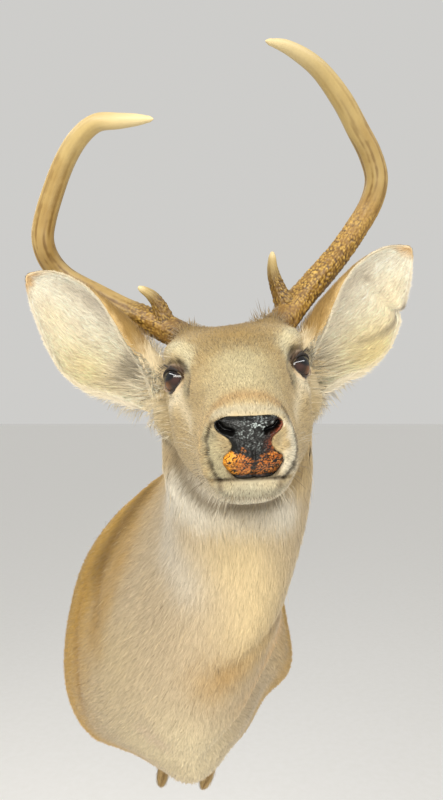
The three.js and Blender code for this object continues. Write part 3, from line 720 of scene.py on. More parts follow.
@dataclass
class BodySkin:
    """The one skin of head, neck and shoulders, with its folds, lids and lips."""

    head_rings: int = 236  # rings of points from the nose to the back of the skull
    body_rings: int = 168  # rings from there to the wall
    round: int = 216  # points round a ring
    lid: float = 1.7  # thickness of the lids over the ball
    # distances from the middle of the eye, in openings, between which the lids pass into the face
    lid_fade: tuple = (1.2, 1.95)
    # rings (share of the way in to the board, y) where the hide turns over at the wall
    hem: tuple = (
        (0.004, -0.9), (0.02, -0.5), (0.1, -0.5), (0.2, -0.7), (0.3, -1.4), (0.31, -3.2), (0.5, -3.4),
        (0.8, -3.4), (0.99, -3.4), (1.0, -6), (1.0, -22.6))
    hide_share: float = 0.305  # share at which the hide ends and the form shows

    def __post_init__(self) -> None:
        """Works out the grid of section places, points and normals."""
        skull = len(SHAPE.head_sections) - 1
        self.u = np.concatenate([
            np.linspace(0, skull, self.head_rings, endpoint=False),
            np.linspace(skull, SHAPE.last, self.body_rings)])
        self.v = np.arange(self.round) / self.round * TURN
        loft = SHAPE.loft(self.u, self.v)
        out = Sheet.over(loft, True, loft - loft.mean((0, 1))).normals
        out[-1, :, 1] = 0
        depth = along(SHAPE.coat_depth, self.u)[:, None]
        points = loft + out * (SHAPE.swell(loft) - depth)[..., None]
        points = self.fold(points, out)
        points = self.set_nose(points)
        points = self.set_lids(points)
        self.sheet = Sheet.over(points, True, points - points.mean((0, 1)))

    @staticmethod
    def fold(points: Array, out: Array) -> Array:
        """Adds the lips, whisker pads, jaw line and the folds of the shoulders.

        Each is a bank or groove, height * exp(-(distance / reach)^2) from a path.

        Args:
            points: places of the skin.
            out: directions out of it.

        Returns:
            The moved places.
        """
        h, left = HEAD.from_model(points), HEAD.folded(points)
        x, f, z = (left[..., k] for k in range(3))
        drop = z - SHAPE.lips(f)
        mouth = smooth(64, 78, f) * (0.2 + 0.8 * smooth(146, 152, f))
        rise = -3.4 * bell(drop, 1.7) + 1.3 * bell(drop - 6, 4.5)
        rise = mouth * (rise + 1.0 * bell(drop + 6, 4))
        rise += 1.6 * near(left, ((0, 152, -74), (14, 150, -74)), 9)  # chin
        # edge of the jaw, and the hollow inside it
        rise += 1.6 * near(left, ((21, 148, -86), (36, 118, -93), (44, 70, -103), (50, 20, -112)), 5)
        rise -= 3.0 * near(left, ((14, 136, -98), (34, 96, -108), (40, 50, -122)), 7)
        for path in MUZZLE_LINES:
            rise -= 1.6 * near(h, path, 1.8)
        # line and hollow in front of the eye
        rise -= 1.4 * near(left, ((53, 20, 18), (50.5, 28, 14), (47.5, 38, 10), (45, 50, 2), (46, 52, -9)), 3)
        rise -= 4.2 * near(left, ((51, 24, 3), (48, 40, 2)), 10)
        rise += 1.6 * near(left, ((29, 158, -22), (31, 154, -30)), 6)  # flare of the nostril
        # whisker pad, with fine rows across it
        rise += 1.2 * near(left, ((27, 150, -46), (24, 152, -56)), 8)
        rise += 0.35 * np.sin(z * 1.15 + x * 0.5) * near(left, ((30, 138, -44), (30, 146, -54)), 12)
        rise += 0.5 * ripple(points, 34, 5, 2) * smooth(-140, -60, -f)
        for path, reach, height in SHOULDER_FOLDS:
            rise += height * near(points, path, reach)
        return points + out * rise[..., None]

    @staticmethod
    def set_nose(points: Array) -> Array:
        """Sinks the skin under the pad of the nose, so that the pad's edge lies in the hair."""
        h = HEAD.from_model(points)
        x, f, z = h[..., 0], h[..., 1], h[..., 2]
        low, high = NOSE.heights[-1], NOSE.heights[0]
        inside = smooth(0.4, 2.8, NOSE.inset(x, z))
        inside = inside * smooth(low + 0.4, low + 2.6, z) * smooth(high - 0.6, high - 3, z)
        face = NOSE.face(x, z)
        h[..., 1] = np.where(f > face - NOSE.seat, f + inside * (np.minimum(f, face - NOSE.recess) - f), f)
        return HEAD.to_model(h)

    def set_lids(self, points: Array) -> Array:
        """Lays the skin over the eyeballs as lids, and sinks it behind them in the opening.

        Each point keeps its direction from the middle of the ball. Its distance goes from under the
        ball inside the opening, through the lids' thickness, to where the face has it.

        Args:
            points: places of the skin.

        Returns:
            The moved places.
        """
        h = HEAD.from_model(points)
        mirror = np.where(h[..., :1] < 0, (-1.0, 1.0, 1.0), 1.0)
        local = EYE.local(h * mirror)
        away = size_of(local)
        oval = EYE.oval(local)
        face = EYE.about(local, 44)
        reached = oval * np.clip(21 / away, 0.8, 1) ** smooth(0, 10, local[..., 0])
        fade = 1 - smooth(*self.lid_fade, reached)
        over = smooth(0, 6, local[..., 1])
        hood = over * (0.3 + 1.0 * bell(oval - 1.5, 0.16))
        rest = np.where(oval < 1, EYE.radius - 3.0, EYE.radius + self.lid * smooth(0.8, 1.25, oval) + hood)
        crease = -2.2 * bell(oval - 1.78, 0.13) * over
        under = -0.9 * bell(oval - 1.7, 0.14) * smooth(0, -8, local[..., 1])
        reach = away + fade * (rest - away) + np.where(face, crease + under, 0)
        local = np.where(face[..., None], unit(local) * reach[..., None], local)
        moved = HEAD.to_model((local @ EYE.axes() + EYE.centre) * mirror)
        return np.where(face[..., None], moved, points)

    def solid(self) -> Surface:
        """Closes the skin, with its markings: the hide turns over at the wall and runs in to the board."""
        points, board = self.sheet.points, BOARD.outline(self.v)
        share, y = np.array(self.hem).T[..., None]
        hem = points[-1] + share[..., None] * (board - points[-1])
        hem[..., 1] = y
        rear = mix(linear(MARKINGS.hide) + 0 * hem, linear(MARKINGS.form), share > self.hide_share)
        return rolled(np.concatenate([points, hem]), np.concatenate([MARKINGS.of_skin(points), rear]))


# ---- markings
@dataclass(frozen=True)
class Dab:
    """One soft patch of colour: its share is strength * exp(-(distance from its path / reach)^soft)."""

    path: tuple  # places that it runs through
    reach: float  # distance at which it has faded
    colour: str
    strength: float  # its share at the path
    soft: float = 2  # 2 for a soft edge, more for a firm one
    ragged: float = 0.12  # how far its edge wanders


@dataclass(frozen=True)
class Markings:
    """The colours of skin and coat: a base by region, with dabs over it."""

    # nape, flank, front: colours of the neck and shoulders, from the top line round to the chest
    nape: str = "9e7b36"
    flank: str = "c79d49"
    front: str = "c7b494"
    face: str = "c3ab7d"  # colour of the sides of the face
    hide: str = "d9c08e"  # the raw side of the hide at the wall
    form: str = "e3d6b0"  # the form inside it
    shade: float = 0.86  # how light the whole is
    # patches on neck and shoulders, in the model's axes, in the order that they are laid
    on_body: tuple = (
        Dab(((-40, -137, 240), (-82, -150, 190), (-105, -150, 150)), 34, "7d5f26", 0.8, 2.2),
        # this and the next: painted shade in the creases on the deer's right side of neck and shoulder
        Dab(SIDE_CREASE, 10, "a07c48", 0.5),
        Dab(((-60, -150, 215), *NECK_CREASE[1:]), 15, "94733f", 0.6, ragged=0.3),
        Dab(((-70, -200, 190), (-64, -202, 164), (-84, -211, 104), (-91, -214, 66)), 28, "b8924e", 0.5),
        Dab(((150, -200, 100), (126, -255, 70), (110, -270, 20)), 40, "daae6c", 0.7),
        # this and the next: painted shade in and round the crease between the brisket and the left shoulder
        Dab((*CHEST_CREASE[1:5], (70, -338, 73)), 11, "8a6a40", 0.7, ragged=0.35),
        Dab(((112, -319, 105), (86, -336, 84), (56, -340, 62)), 26, "b8955e", 0.6, ragged=0.3),
        Dab(((-30, -230, 60), (-40, -200, 0), (0, -220, -50)), 45, "dcc691", 0.6),
        Dab(((0, -240, -50), (30, -290, -30), (40, -250, -110)), 60, "ebdbb4", 0.75),
        Dab(((-20, -270, -20), (-5, -270, -36)), 14, "d3bca2", 0.6, ragged=0.4),
        Dab(((6, -300, 250), (6, -304, 207), (30, -330, 176)), 30, "d8cfbd", 0.7, 2.2),
        Dab(((20, -315, 272), (50, -335, 254), (90, -342, 250), (125, -338, 252)), 27, "e0d9c8", 0.95, 4),
        Dab(((88, -347, 200), (104, -345, 170), (108, -345, 130)), 44, "e6cf9f", 0.8),
        # painted shadow of the jaw: a grey line across the throat just under it
        Dab(((15, -311, 313), (20, -313, 298), (27, -319, 284), (35, -324, 272), (46, -329, 262),
             (59, -332, 257), (77, -332, 255), (98, -333, 256), (118, -334, 259), (130, -331, 266)),
            7.5, "84755a", 0.7))
    # on both sides of the head, in its axes
    on_head: tuple = (
        Dab(((0, 60, 28), (0, 20, 40), (0, -60, 48)), 42, "9b7c3f", 0.75, 2.2, ragged=0.25),
        Dab(((0, -40, 46), (46, -52, 44)), 30, "866c3b", 0.75),
        Dab(((0, 50, 30), (24, 44, 31), (38, 32, 30)), 17, "a08a5c", 0.5, ragged=0.3),
        Dab(((0, 124, 8), (6, 80, 22)), 25, "c5ba93", 0.75, ragged=0.25),
        Dab(((30, 96, 8), (32, 124, -4)), 20, "c6b589", 0.5),
        Dab(((40, 110, -22), (40, 138, -34)), 16, "ceac72", 0.5),
        Dab(((61, -8, 33), (55, 5, 33), (47, 23, 27), (43, 33, 21), (45, 38, 13)), 9, "d8cca6", 0.9, 2.2,
            ragged=0.25),
        Dab(((56, 21, -11), (62, 16, -17), (66, 6, -22)), 9, "f3e5c4", 0.85, 1.9, ragged=0.25),
        Dab(((58, 20, -13), (54, 32, -18), (51, 41, -25), (47, 56, -36)), 9.5, "efe0be", 0.6, 1.8,
            ragged=0.3),
        Dab(((70, -84, 6), (84, -96, 14)), 16, "bf9a58", 0.8),
        Dab(((64, -40, -10), (72, -60, -4)), 16, "cab17d", 0.6, 2.2),
        Dab(((86, -72, -30), (92, -86, -38), (90, -82, -60)), 17, "e8d9b6", 0.75, 2.2, ragged=0.3),
        Dab(((50, 36, -4), (48, 46, -10)), 6, "a39a7c", 0.7, 2.2),
        Dab(((53, 20, 18), (50.5, 28, 14), (47.5, 38, 10), (45.5, 46, 5), (44.8, 51, 0), (46, 52, -9)), 3.5,
            "352a16", 0.97, 2.2),
        Dab(((0, 149, -4), (16, 149, -5), (30, 148, -12)), 7.5, "b18e5e", 0.7, ragged=0.3),
        Dab(((0, 162, -13), (14, 160, -14), (25, 156, -16)), 5.6, "beb397", 0.9, 2.4, ragged=0.3),
        Dab(((0, 120, -100), (0, 30, -118)), 44, "dcd3bb", 0.9, 3),
        Dab(((0, 154, -74), (16, 150, -74)), 10.5, "bdb69c", 0.95, 3, ragged=0.2),
        # dark line under the lower lip and round the chin: partly the chin's dark hairs, partly painted shade
        # under the lip
        Dab(((22, 156, -66), (23, 155, -74), (17, 153, -82), (0, 150, -85)), 2.2, "5c4a34", 0.7))
    # on one side of it
    on_muzzle: tuple = (
        # the white of the muzzle's sides: on the deer's right (here) painted greyer than on its left (next),
        # as painted shade on the side away from the light
        Dab(((-27, 156, -34), (-24, 158, -46), (-21, 160, -60)), 9.5, "b4aa88", 1, 3, ragged=0.3),
        Dab(((32, 152, -30), (33, 150, -40), (29, 157, -56)), 9.5, "eae0c6", 1, 3, ragged=0.3),
        Dab(((29, 150, -22), (33, 148, -34), (34, 147, -42)), 4.6, "7d7a66", 0.75),
        Dab(((-24, 160, -31), (-16, 162, -38), (-15, 161, -43)), 3.2, "6f6a58", 0.8),
        Dab(((22, 162, -32), (20, 162, -37)), 3, "6f6a58", 0.7),
        Dab(MUZZLE_LINES[0], 2.1, "33230f", 0.95, 2.4, ragged=0.45),
        Dab(MUZZLE_LINES[1], 2.9, "33270f", 0.95, 2.4, ragged=0.45))

    def of_skin(self, points: Array) -> Array:
        """Colours at places on the skin: nape, flank and front by facing, the face, then the patches.

        Args:
            points: places in the model.

        Returns:
            Linear colours, one for each place.
        """
        h, folded = HEAD.from_model(points), HEAD.folded(points)
        wander = ripple(points, 45, 11, 3)
        ahead = -points[..., 1] - 0.35 * (points[..., 2] - 100) - 0.9 * np.abs(points[..., 0] - 40)
        facing = ahead / 190 + 0.10 * wander
        head = smooth(-110, -60, h[..., 1] + 6 * wander) * smooth(-165, -120, h[..., 2] + 6 * wander)
        colour = paint(linear(self.nape) + 0 * points,
            (self.flank, smooth(-1.0, -0.1, facing)),
            (self.front, smooth(-0.2, 0.9, facing)),
            (self.face, head))
        seed = 40
        for dabs, places in ((self.on_body, points), (self.on_head, folded), (self.on_muzzle, h)):
            for dab in dabs:
                ragged = 1 + dab.ragged * ripple(points, 9, seed, 2)
                share = dab.strength * bell(path_distance(places, dab.path) / dab.reach * ragged, 1, dab.soft)
                colour = mix(colour, linear(dab.colour), share)
                seed += 1
        # painted shade: a dark line in the seam between the lips
        lips = bell((h[..., 2] - SHAPE.lips(h[..., 1])) / 1.5, 1)
        lips = lips * smooth(64, 74, h[..., 1]) * (0.1 + 0.9 * smooth(150, 154, h[..., 1]))
        colour = mix(colour, linear("2c1d12"), 0.9 * lips)
        local = EYE.local(folded)
        oval = EYE.oval(local)
        eye = EYE.about(local, 40)
        above = eye * smooth(-1, 4, local[..., 1])
        folds = 0.5 + 0.5 * np.sin(9 * local[..., 0] / 6 + 14 * oval)
        duct = near(local, ((15, 0, 9), (21, -1, 5)), 2.4)
        colour = paint(colour,
            # painted shade in the crease over the upper lid
            ("4b3d24", 0.9 * above * bell(oval - 1.74, 0.24)),
            ("33241a", 0.97 * above * bell(oval - 1.2, 0.3, 4)),
            ("7d685a", 0.5 * folds * above * bell(oval - 1.24, 0.16, 4)),
            ("9c887a", 0.7 * above * bell(oval - 1.48, 0.06)),
            ("c7ad8c", 0.7 * eye * (1 - above) * bell(oval - 1.22, 0.12)),
            ("2a1b11", np.clip(eye * bell(oval - 0.97, 0.14, 4) + 0.7 * duct, 0, 0.95)))
        return self.shade * colour


MARKINGS = Markings()


# ---- the coat
@dataclass
class Coat:
    """Tufts of hair laid along a sheet of skin."""

    name: str  # start of its pieces' names
    sheet: Sheet  # the skin
    count: int  # number of tufts
    length: Array  # length of the hair at each place of the sheet
    lift: Array  # how far the tips stand off, as a part of the length, at each place
    colours: Array  # colour of the skin at each place
    cover: Array  # how thickly the hair lies at each place, 0 for bare skin
    ticks: Array  # share of dark hairs at each place
    comb: Array  # angle from the rows' direction at each place, radians
    slot: str  # the record's material slot
    material: Material  # its finish
    seed: int  # which hairs
    most: int = 32000  # the most tufts in a piece
    gap: float = 0.35  # depth of the roots under the skin
    vary: float = 0.28  # how far the tufts differ in length
    stray: float = 0.11  # how far they stray from the comb, radians
    clump_size: float = 22  # size of the clumps in it
    grain_size: float = 3.2  # size of its small patches
    tone: float = 0.11  # how far the tufts differ in brightness
    grain: float = 0.13  # how far small patches of them do
    sheen: float = 0.19  # how far they differ in the way that they catch the light
    tick_colour: str = "4b3a26"  # colour of the dark hairs
    wall: float = -0.6  # y that no tuft passes, so that the coat stays clear of the wall

    @staticmethod
    def width(length: Array) -> Array:
        """Width of a tuft of some length: a quarter of a millimetre, and a fortieth of the length."""
        return 0.25 + 0.025 * length

    def roots(self, rng: np.random.Generator) -> tuple[Array, Array]:
        """Chooses places for the tufts: a cell's chance is its area times cover, over length times width.

        Args:
            rng: source of the random numbers.

        Returns:
            Rows and columns of the roots, with parts of a cell.
        """
        down, across = self.sheet.steps()
        weight = down * across * self.cover / (self.length * self.width(self.length))
        weight[-1] = 0
        if not self.sheet.wraps:
            weight[:, -1] = 0
        total = np.cumsum(weight.ravel())
        spread = (np.arange(self.count) + rng.uniform(size=self.count)) / self.count
        cell = np.searchsorted(total, spread * total[-1])
        i, j = np.divmod(np.minimum(cell, weight.size - 1), weight.shape[1])
        return i + rng.uniform(size=self.count), j + rng.uniform(size=self.count)

    def pieces(self) -> None:
        """Makes the tufts, in pieces that stay small enough, in the order of the skin's rows.

        A tuft's belly and tip lie further along the sheet by two fifths of its length and by all of
        it, turned by the comb and a little at random, and stand off by the lift.
        """
        rng = np.random.default_rng(self.seed)
        sheet, n = self.sheet, self.count
        i, j = self.roots(rng)
        read = lambda layer: sheet.read(layer, i, j)
        length = read(self.length) * rng.uniform(1 - self.vary, 1 + self.vary, n)
        roots = read(sheet.points)
        clump = ripple(roots, self.clump_size, self.seed, 2)
        grain = ripple(roots, self.grain_size, self.seed + 1, 2)
        turn = read(self.comb) + rng.normal(0, self.stray, n) + 0.09 * clump
        down, across = (read(step) for step in sheet.steps())
        lift = read(self.lift) * length * rng.uniform(0.4, 1.8, n) * (1 + 0.35 * grain)
        run = np.sqrt(np.maximum(length**2 - lift**2, 1))
        di, dj = run * np.cos(turn) / down, run * np.sin(turn) / across

        def place(part: float, height: Array) -> Array:
            """Place a part of the way along each tuft, at a height over the skin."""
            at = (i + part * di, j + part * dj)
            there = sheet.read(sheet.points, *at) + height[:, None] * sheet.read(sheet.normals, *at)
            there[:, 1] = np.minimum(there[:, 1], self.wall)
            return there

        line = place(0, -self.gap + 0 * lift), place(0.4, 0.55 * lift + 0.12), place(1, lift)
        out = unit(read(sheet.normals) + self.sheen * rng.normal(size=(n, 3)))
        width = self.width(length) * rng.uniform(0.8, 1.25, n)
        differ = self.tone * (1 + 1.8 * smooth(6.5, 3.2, length))
        tone = (1 + differ * rng.normal(0, 1, n) + 0.06 * clump + self.grain * grain)[:, None]
        colour = clamp(read(self.colours) * tone)
        dark = rng.uniform(size=n) < read(self.ticks)
        colour = mix(colour, linear(self.tick_colour), dark * rng.uniform(0.3, 0.75, n))
        rows, columns = sheet.points.shape[:2]
        spot = stacked(i / rows, j % columns / columns)
        # darker at the root and paler at the tip: partly the hair's own banding, partly painted shade among
        # the hairs
        tufts = spindles(line, out, width, colour, spot, flat=0.5, shade=(0.72, 0.96, 0.98, 0.96, 1.08))
        for part, here in enumerate(np.array_split(np.arange(n), -(-n // self.most)), 1):
            cut = lambda layer, each: layer[each * here[0]:each * (here[-1] + 1)]
            Surface(
                cut(tufts.points, 5), triangles=cut(tufts.triangles, 6) - 5 * here[0],
                markings=cut(tufts.markings, 5), unwrap=cut(tufts.unwrap, 18), normals=cut(tufts.normals, 5)
            ).piece(f"{self.name}_{part}", self.slot, self.material)


@dataclass(frozen=True)
class BodyCoat:
    """How the hair of head, neck and shoulders grows."""

    count: int = 176000  # number of tufts
    # by section: the hair's length, how far tips stand off as a part of it, and how thickly it lies
    lengths: tuple = ((0, 2.8), (3, 3.2), (5, 3.8), (8, 5), (10, 6.5), (13, 8), (16, 10), (20, 12), (23, 13))
    lifts: tuple = ((0, 0.18), (3, 0.17), (8, 0.17), (13, 0.16), (17, 0.15), (23, 0.15))
    thick: tuple = ((0, 0.75), (8, 0.75), (12, 1.0), (16, 1.1), (23, 1.1))
    # (share, path, reach) of dark hairs, on both sides of the head and on one
    ticks: tuple = (
        (0.40, ((0, 50, 30), (24, 44, 31), (38, 32, 30)), 18),
        (0.14, ((0, 20, 38), (30, 10, 38)), 30),
        (0.10, ((0, 151, -3), (22, 149, -8)), 7),
        (0.30, ((0, 151, -86), (20, 146, -85)), 4))
    muzzle_ticks: tuple = (
        (0.35, ((-24, 160, -31), (-16, 162, -38)), 5),
        (0.40, ((30, 152, -20), (33, 150, -36), (31, 152, -50)), 7))

    def build(self, skin: BodySkin, material: Material) -> None:
        """Lays the coat over the skin, with a finish."""
        points = skin.sheet.points
        h, left = HEAD.from_model(points), HEAD.folded(points)
        by_row = lambda table: along(table, skin.u)[:, None] * np.ones(points.shape[:2])
        collar = near(left, ((50, -62, 46), (62, -74, 50)), 20, 3)
        ear_root = near(left, ((80, -88, -6), (92, -96, 8)), 26, 3)
        tassel = near(left, ((82, -64, -16), (90, -80, -30), (92, -84, -44)), 18)
        chin = near(left, ((0, 150, -78), (18, 146, -80)), 10)
        crest = near(h, ((26, -58, 50), (38, -66, 52)), 8)
        longer = 1 + 0.9 * collar + 1.5 * ear_root + 2.4 * tassel + 0.25 * chin + 1.3 * crest
        lift = by_row(self.lifts) + 0.5 * collar + 0.4 * ear_root + 0.3 * tassel + 0.25 * chin + 0.5 * crest
        lift += 0.12 * near(left, ((30, 157, -36), (22, 160, -56)), 8)
        lift += 0.10 * near(points, ((20, -240, -120), (25, -150, -170)), 60)
        x, f, z = (h[..., k] for k in range(3))
        pad = smooth(0.2, 2.0, NOSE.inset(x, z) + 0.8 * ripple(points, 6, 77, 2)) * (f > NOSE.face(x, z) - 16)
        pad = pad * (z > NOSE.heights[-1] - 0.5) * (z < NOSE.heights[0] - 0.6)
        local = EYE.local(left)
        below = 1.12 + 0.26 * smooth(2, 7, local[..., 0])
        bare = EYE.oval(local) < np.where(local[..., 1] > 2, 1.52, below)
        bare &= EYE.about(local, 30, -6)
        mouth = (np.abs(z - SHAPE.lips(f)) < 1.2) & (f > 150)
        cover = by_row(self.thick) * (1 - clamp(pad)) * ~bare * ~mouth
        cover *= 1 + 0.5 * collar
        ticks = sum(share * near(left, path, reach) for share, path, reach in self.ticks)
        ticks += 0.10 * smooth(-110, -80, f) * smooth(-140, -110, z) + 0.004
        for share, path, reach in self.muzzle_ticks:
            ticks += share * near(h, path, reach)
        comb = 0.12 * ripple(points, 170, 3, 1) * smooth(10, 14, skin.u)[:, None]
        Coat("coat", skin.sheet, self.count, by_row(self.lengths) * longer, lift, MARKINGS.of_skin(points),
             cover, clamp(ticks), comb, "coat", material, seed=7).pieces()


# ---- ears
@dataclass
class Ear:
    """One ear: a cupped sheet, rolled into a tube at its root, with hair inside and out."""

    side: Side  # which side of the deer
    root: tuple = (89, -94, -6)  # ends of its length, in the head's frame
    tip: tuple = (205, -88, 114)
    roll: float = 2.65  # how far the two ears stand more level than the head, degrees
    shift: float = -7  # their move to the deer's right
    wall: float = 3.5  # thickness from tip to tip of the hair
    skin: float = 0.7  # how far the skin lies inside that
    sunk: float = -0.16  # how far the root goes into the head, as a part of the length
    # the opening's lower and upper edges, by part of the length
    lower: tuple = (
        (-0.16, 28), (-0.05, 36), (0.04, 40), (0.13, 46), (0.22, 54), (0.34, 58), (0.46, 58), (0.64, 46),
        (0.84, 25), (0.95, 12), (1, 2))
    upper: tuple = (
        (-0.16, -24), (0, -29), (0.1, -32), (0.25, -36), (0.37, -38.5), (0.52, -38), (0.68, -35.5),
        (0.8, -30), (0.9, -22), (0.97, -11), (1, -2))
    # depth, and how far the edges fold over in radians, by part of the length
    cup: tuple = ((-0.16, 20), (0, 26), (0.2, 33), (0.45, 31), (0.7, 20), (0.9, 9), (1, 1))
    fold_over: tuple = (
        (-0.16, 2), (0, 1.3), (0.15, 1.0), (0.3, 0.85), (0.45, 0.6), (0.6, 0.3), (0.8, 0.05), (1, 0))
    ridges: tuple = (0.30, 0.42, 0.55)  # where low ridges run along the inside, by part of the way across
    relief: float = 1.6  # their height
    notch: tuple = (0.66, 9, 0.018)  # (part of the length, depth, width) of the left ear's torn lower edge
    rows: int = 120  # rings from root to tip
    columns: int = 72  # points from the lower to the upper edge
    # (number of tufts, length, part of it that they stand off, comb) of the hair on each face
    outer_hair: tuple = (10000, 7.0, 0.16, 0.0)
    inner_hair: tuple = (18000, 11.0, 0.16, 0.55)
    fringe: int = 5200  # number of tufts along its edges

    def rows_at(self) -> Array:
        """Parts of the length of the rings, closer together near the tip."""
        t = np.linspace(0, 1, self.rows)
        return self.sunk + (0.998 - self.sunk) * (1 - (1 - t) ** 1.25)

    def layer(self, s: Array, offset: float, relief: float = 0) -> Array:
        """One face of the ear, in the model.

        An angle a runs across the ear from its lower edge to its upper one. The point is the root,
        plus the way out times s, plus the way down times (middle + half * cos a), plus the way
        forward times (curl - cup * sin a - a quarter of half * cos a).

        Args:
            s: parts of the length.
            offset: depth inside the outer face.
            relief: height of the ridges.

        Returns:
            Places, by part of the length and then across.
        """
        root, tip = np.array(self.root, float), np.array(self.tip, float)
        length = np.linalg.norm(tip - root)
        out = (tip - root) / length
        forward = unit(np.array([0.0, 1, 0]) - out * out[1])
        down = unit(np.cross(forward, out))
        down = -down if down[2] > 0 else down
        low, high = softened(self.lower, s), softened(self.upper, s)
        close = np.sqrt(clamp((1 - s) / 0.012))
        low, high = (edge * close + (1 - close) * (low + high) / 2 for edge in (low, high))
        if self.side is Side.LEFT:
            at, depth, width = self.notch
            low = low - depth * bell(np.abs(s - at), width, 1.5)
        t = np.linspace(0, 1, self.columns)[None]
        middle = ((low + high) / 2)[:, None]
        thin = 0.2 + 0.8 * smooth(0.0, 0.15, np.minimum(t, 1 - t))
        depth = np.minimum(offset, self.skin) + (offset - np.minimum(offset, self.skin)) * thin
        half = np.maximum((low - high)[:, None] / 2 - depth, 0.3)
        cup = np.maximum(softened(self.cup, s)[:, None] - depth, 0.3)
        fold = softened(self.fold_over, s)[:, None]
        curl = (10 + 8 * clamp(s) ** 2)[:, None]
        a = -0.25 * fold + t * (math.pi + 1.25 * fold)
        x = half * np.cos(a)
        ridge = sum(bell(t - at - 0.05 * s[:, None], 0.035) for at in self.ridges)
        ridge = relief * ridge * smooth(0.05, 0.25, s)[:, None] * smooth(0.98, 0.6, s)[:, None]
        points = (root + out * (length * s * (1 - 0.004 * offset))[:, None, None]
                  + down * (middle + x)[..., None]
                  + forward * (curl - cup * np.sin(a) - 0.25 * x + ridge)[..., None])
        wave = ripple(points, 60, 21, 2) * smooth(0.2, 0.5, s)[:, None]
        points = points + forward * (1.1 * wave)[..., None]
        c, n = math.cos(math.radians(self.roll)), math.sin(math.radians(self.roll))
        x, f, z = self.side.value * points[..., 0], points[..., 1], points[..., 2]
        return HEAD.to_model(stacked(x * c + z * n + self.shift, f, z * c - x * n))

    def colours(self, s: Array, points: Array, inside: bool) -> Array:
        """Colours of one face of the ear.

        Args:
            s: parts of the length.
            points: its places.
            inside: whether it is the hollow face.

        Returns:
            Linear colours, one for each place.
        """
        s = s[:, None]
        t = np.linspace(0, 1, self.columns)[None]
        wander = ripple(points, 30, 23, 3)
        blob = lambda s0, t0, ds, dt: np.exp(-((s - s0) / ds) ** 2 - ((t - t0) / dt) ** 2)
        # deep: strength of the painted shade in the cup and towards the canal, less on the left ear
        deep = 0.35 if self.side is Side.LEFT else 1.0
        if inside:
            colour = paint(linear("fff5de") + 0 * points,
                ("fce6ac", 0.8 * blob(0.32, 0.22, 0.3, 0.22)),
                ("f6e2bc", 0.6 * blob(0.7, 0.3, 0.16, 0.2)),
                # painted shade: grey in the hollow of the cup
                ("bcb2a2", (0.35 + 0.35 * deep) * blob(0.50, 0.72, 0.26, 0.11) * (1 + 0.4 * wander)),
                ("e9dcc0", 0.35 * smooth(0.1, 0.9, wander)),
                ("cbb894", 0.6 * blob(0.18, 0.66, 0.12, 0.12)),
                # these two: painted shade, darker towards the canal at the root
                ("aca18b", 0.7 * deep * blob(0.09, 0.45, 0.09, 0.18)),
                ("726957", 0.5 * deep * blob(0.05, 0.40, 0.04, 0.10)),
                ("c89e62", 0.85 * smooth(0.9, 0.97, s + 0.03 * wander + 0.05 * (t - 0.5))))
            if self.side is Side.LEFT:
                # painted shade in the crease that runs in from the notch
                crease = bell(s - 0.70 + 1.1 * t + 0.03 * wander, 0.045) * smooth(0.40, 0.24, t)
                colour = paint(colour,
                    ("90877a", 0.85 * crease),
                    ("efdca4", 0.8 * blob(0.34, 0.16, 0.15, 0.16)),
                    ("e6d9c0", 0.5 * blob(0.30, 0.62, 0.22, 0.2)),
                    ("9c8f78", 0.6 * blob(0.66, 0.62, 0.03, 0.05)))
            return mix(colour, linear("f1e4c6"), 0.8 * smooth(0.94, 0.98, t))
        return paint(linear("a98a50") + 0 * points,
            ("8f7040", smooth(0.35, 0.8, t) * (0.7 + 0.3 * wander)),
            ("d2b27a", 0.8 * smooth(0.93, 1.0, t + 0.05 * wander)),
            ("eadbb4", 0.9 * smooth(0.2, 0.04, t)),
            ("9c7a48", 0.5 * smooth(0.8, 0.98, s)),
            ("ecdcb8", 0.9 * smooth(0.2, 0.06, s + 0.05 * wander)))

    def build(self, skin: Material, coat: Material) -> None:
        """Makes the ear's skin and its hair.

        Args:
            skin: finish of the skin.
            coat: finish of the hair.
        """
        s = self.rows_at()
        outer, inner = self.layer(s, self.skin), self.layer(s, self.wall - self.skin, self.relief)
        colours = self.colours(s, outer, False), self.colours(s, inner, True)
        both = lambda a, b: np.concatenate([a, b[:, ::-1]], 1)
        name = f"ear_{self.side.word}"
        rolled(both(outer, inner), both(*colours)).piece(f"{name}_skin", "ear", skin, (name,))
        front = unit(inner.mean((0, 1)) - outer.mean((0, 1)))
        full = np.ones(outer.shape[:2])
        t, rows = np.linspace(0, 1, self.columns)[None] * full, s[:, None] * full
        longer = 1 + 0.9 * smooth(0.3, 0.05, rows) - 0.45 * smooth(0.6, 1.0, rows)
        for inside, hair in enumerate((self.outer_hair, self.inner_hair)):
            count, length, lift, comb = hair
            sheet = Sheet.over((outer, inner)[inside], False, (inner - outer) * (2 * inside - 1))
            if inside:
                sheet.normals = unit(sheet.normals + 1.8 * front)
            lift = lift + 0.25 * smooth(0.15, 0.0, rows) + 0.35 * (1 - inside) * smooth(0.4, 0.1, rows)
            ticks = 0.08 * bell(rows - 0.12, 0.06) * inside + 0.003
            Coat(f"{name}_{('outer', 'inner')[inside]}_coat", sheet, count, length * longer, lift,
                 colours[inside], (rows > -0.13) * full, ticks, comb * (0.5 - t) * -2, "ear", coat,
                 seed=31 + self.side.value + inside).pieces()
        self.edge_hair(s, outer, inner, colours[1], coat)

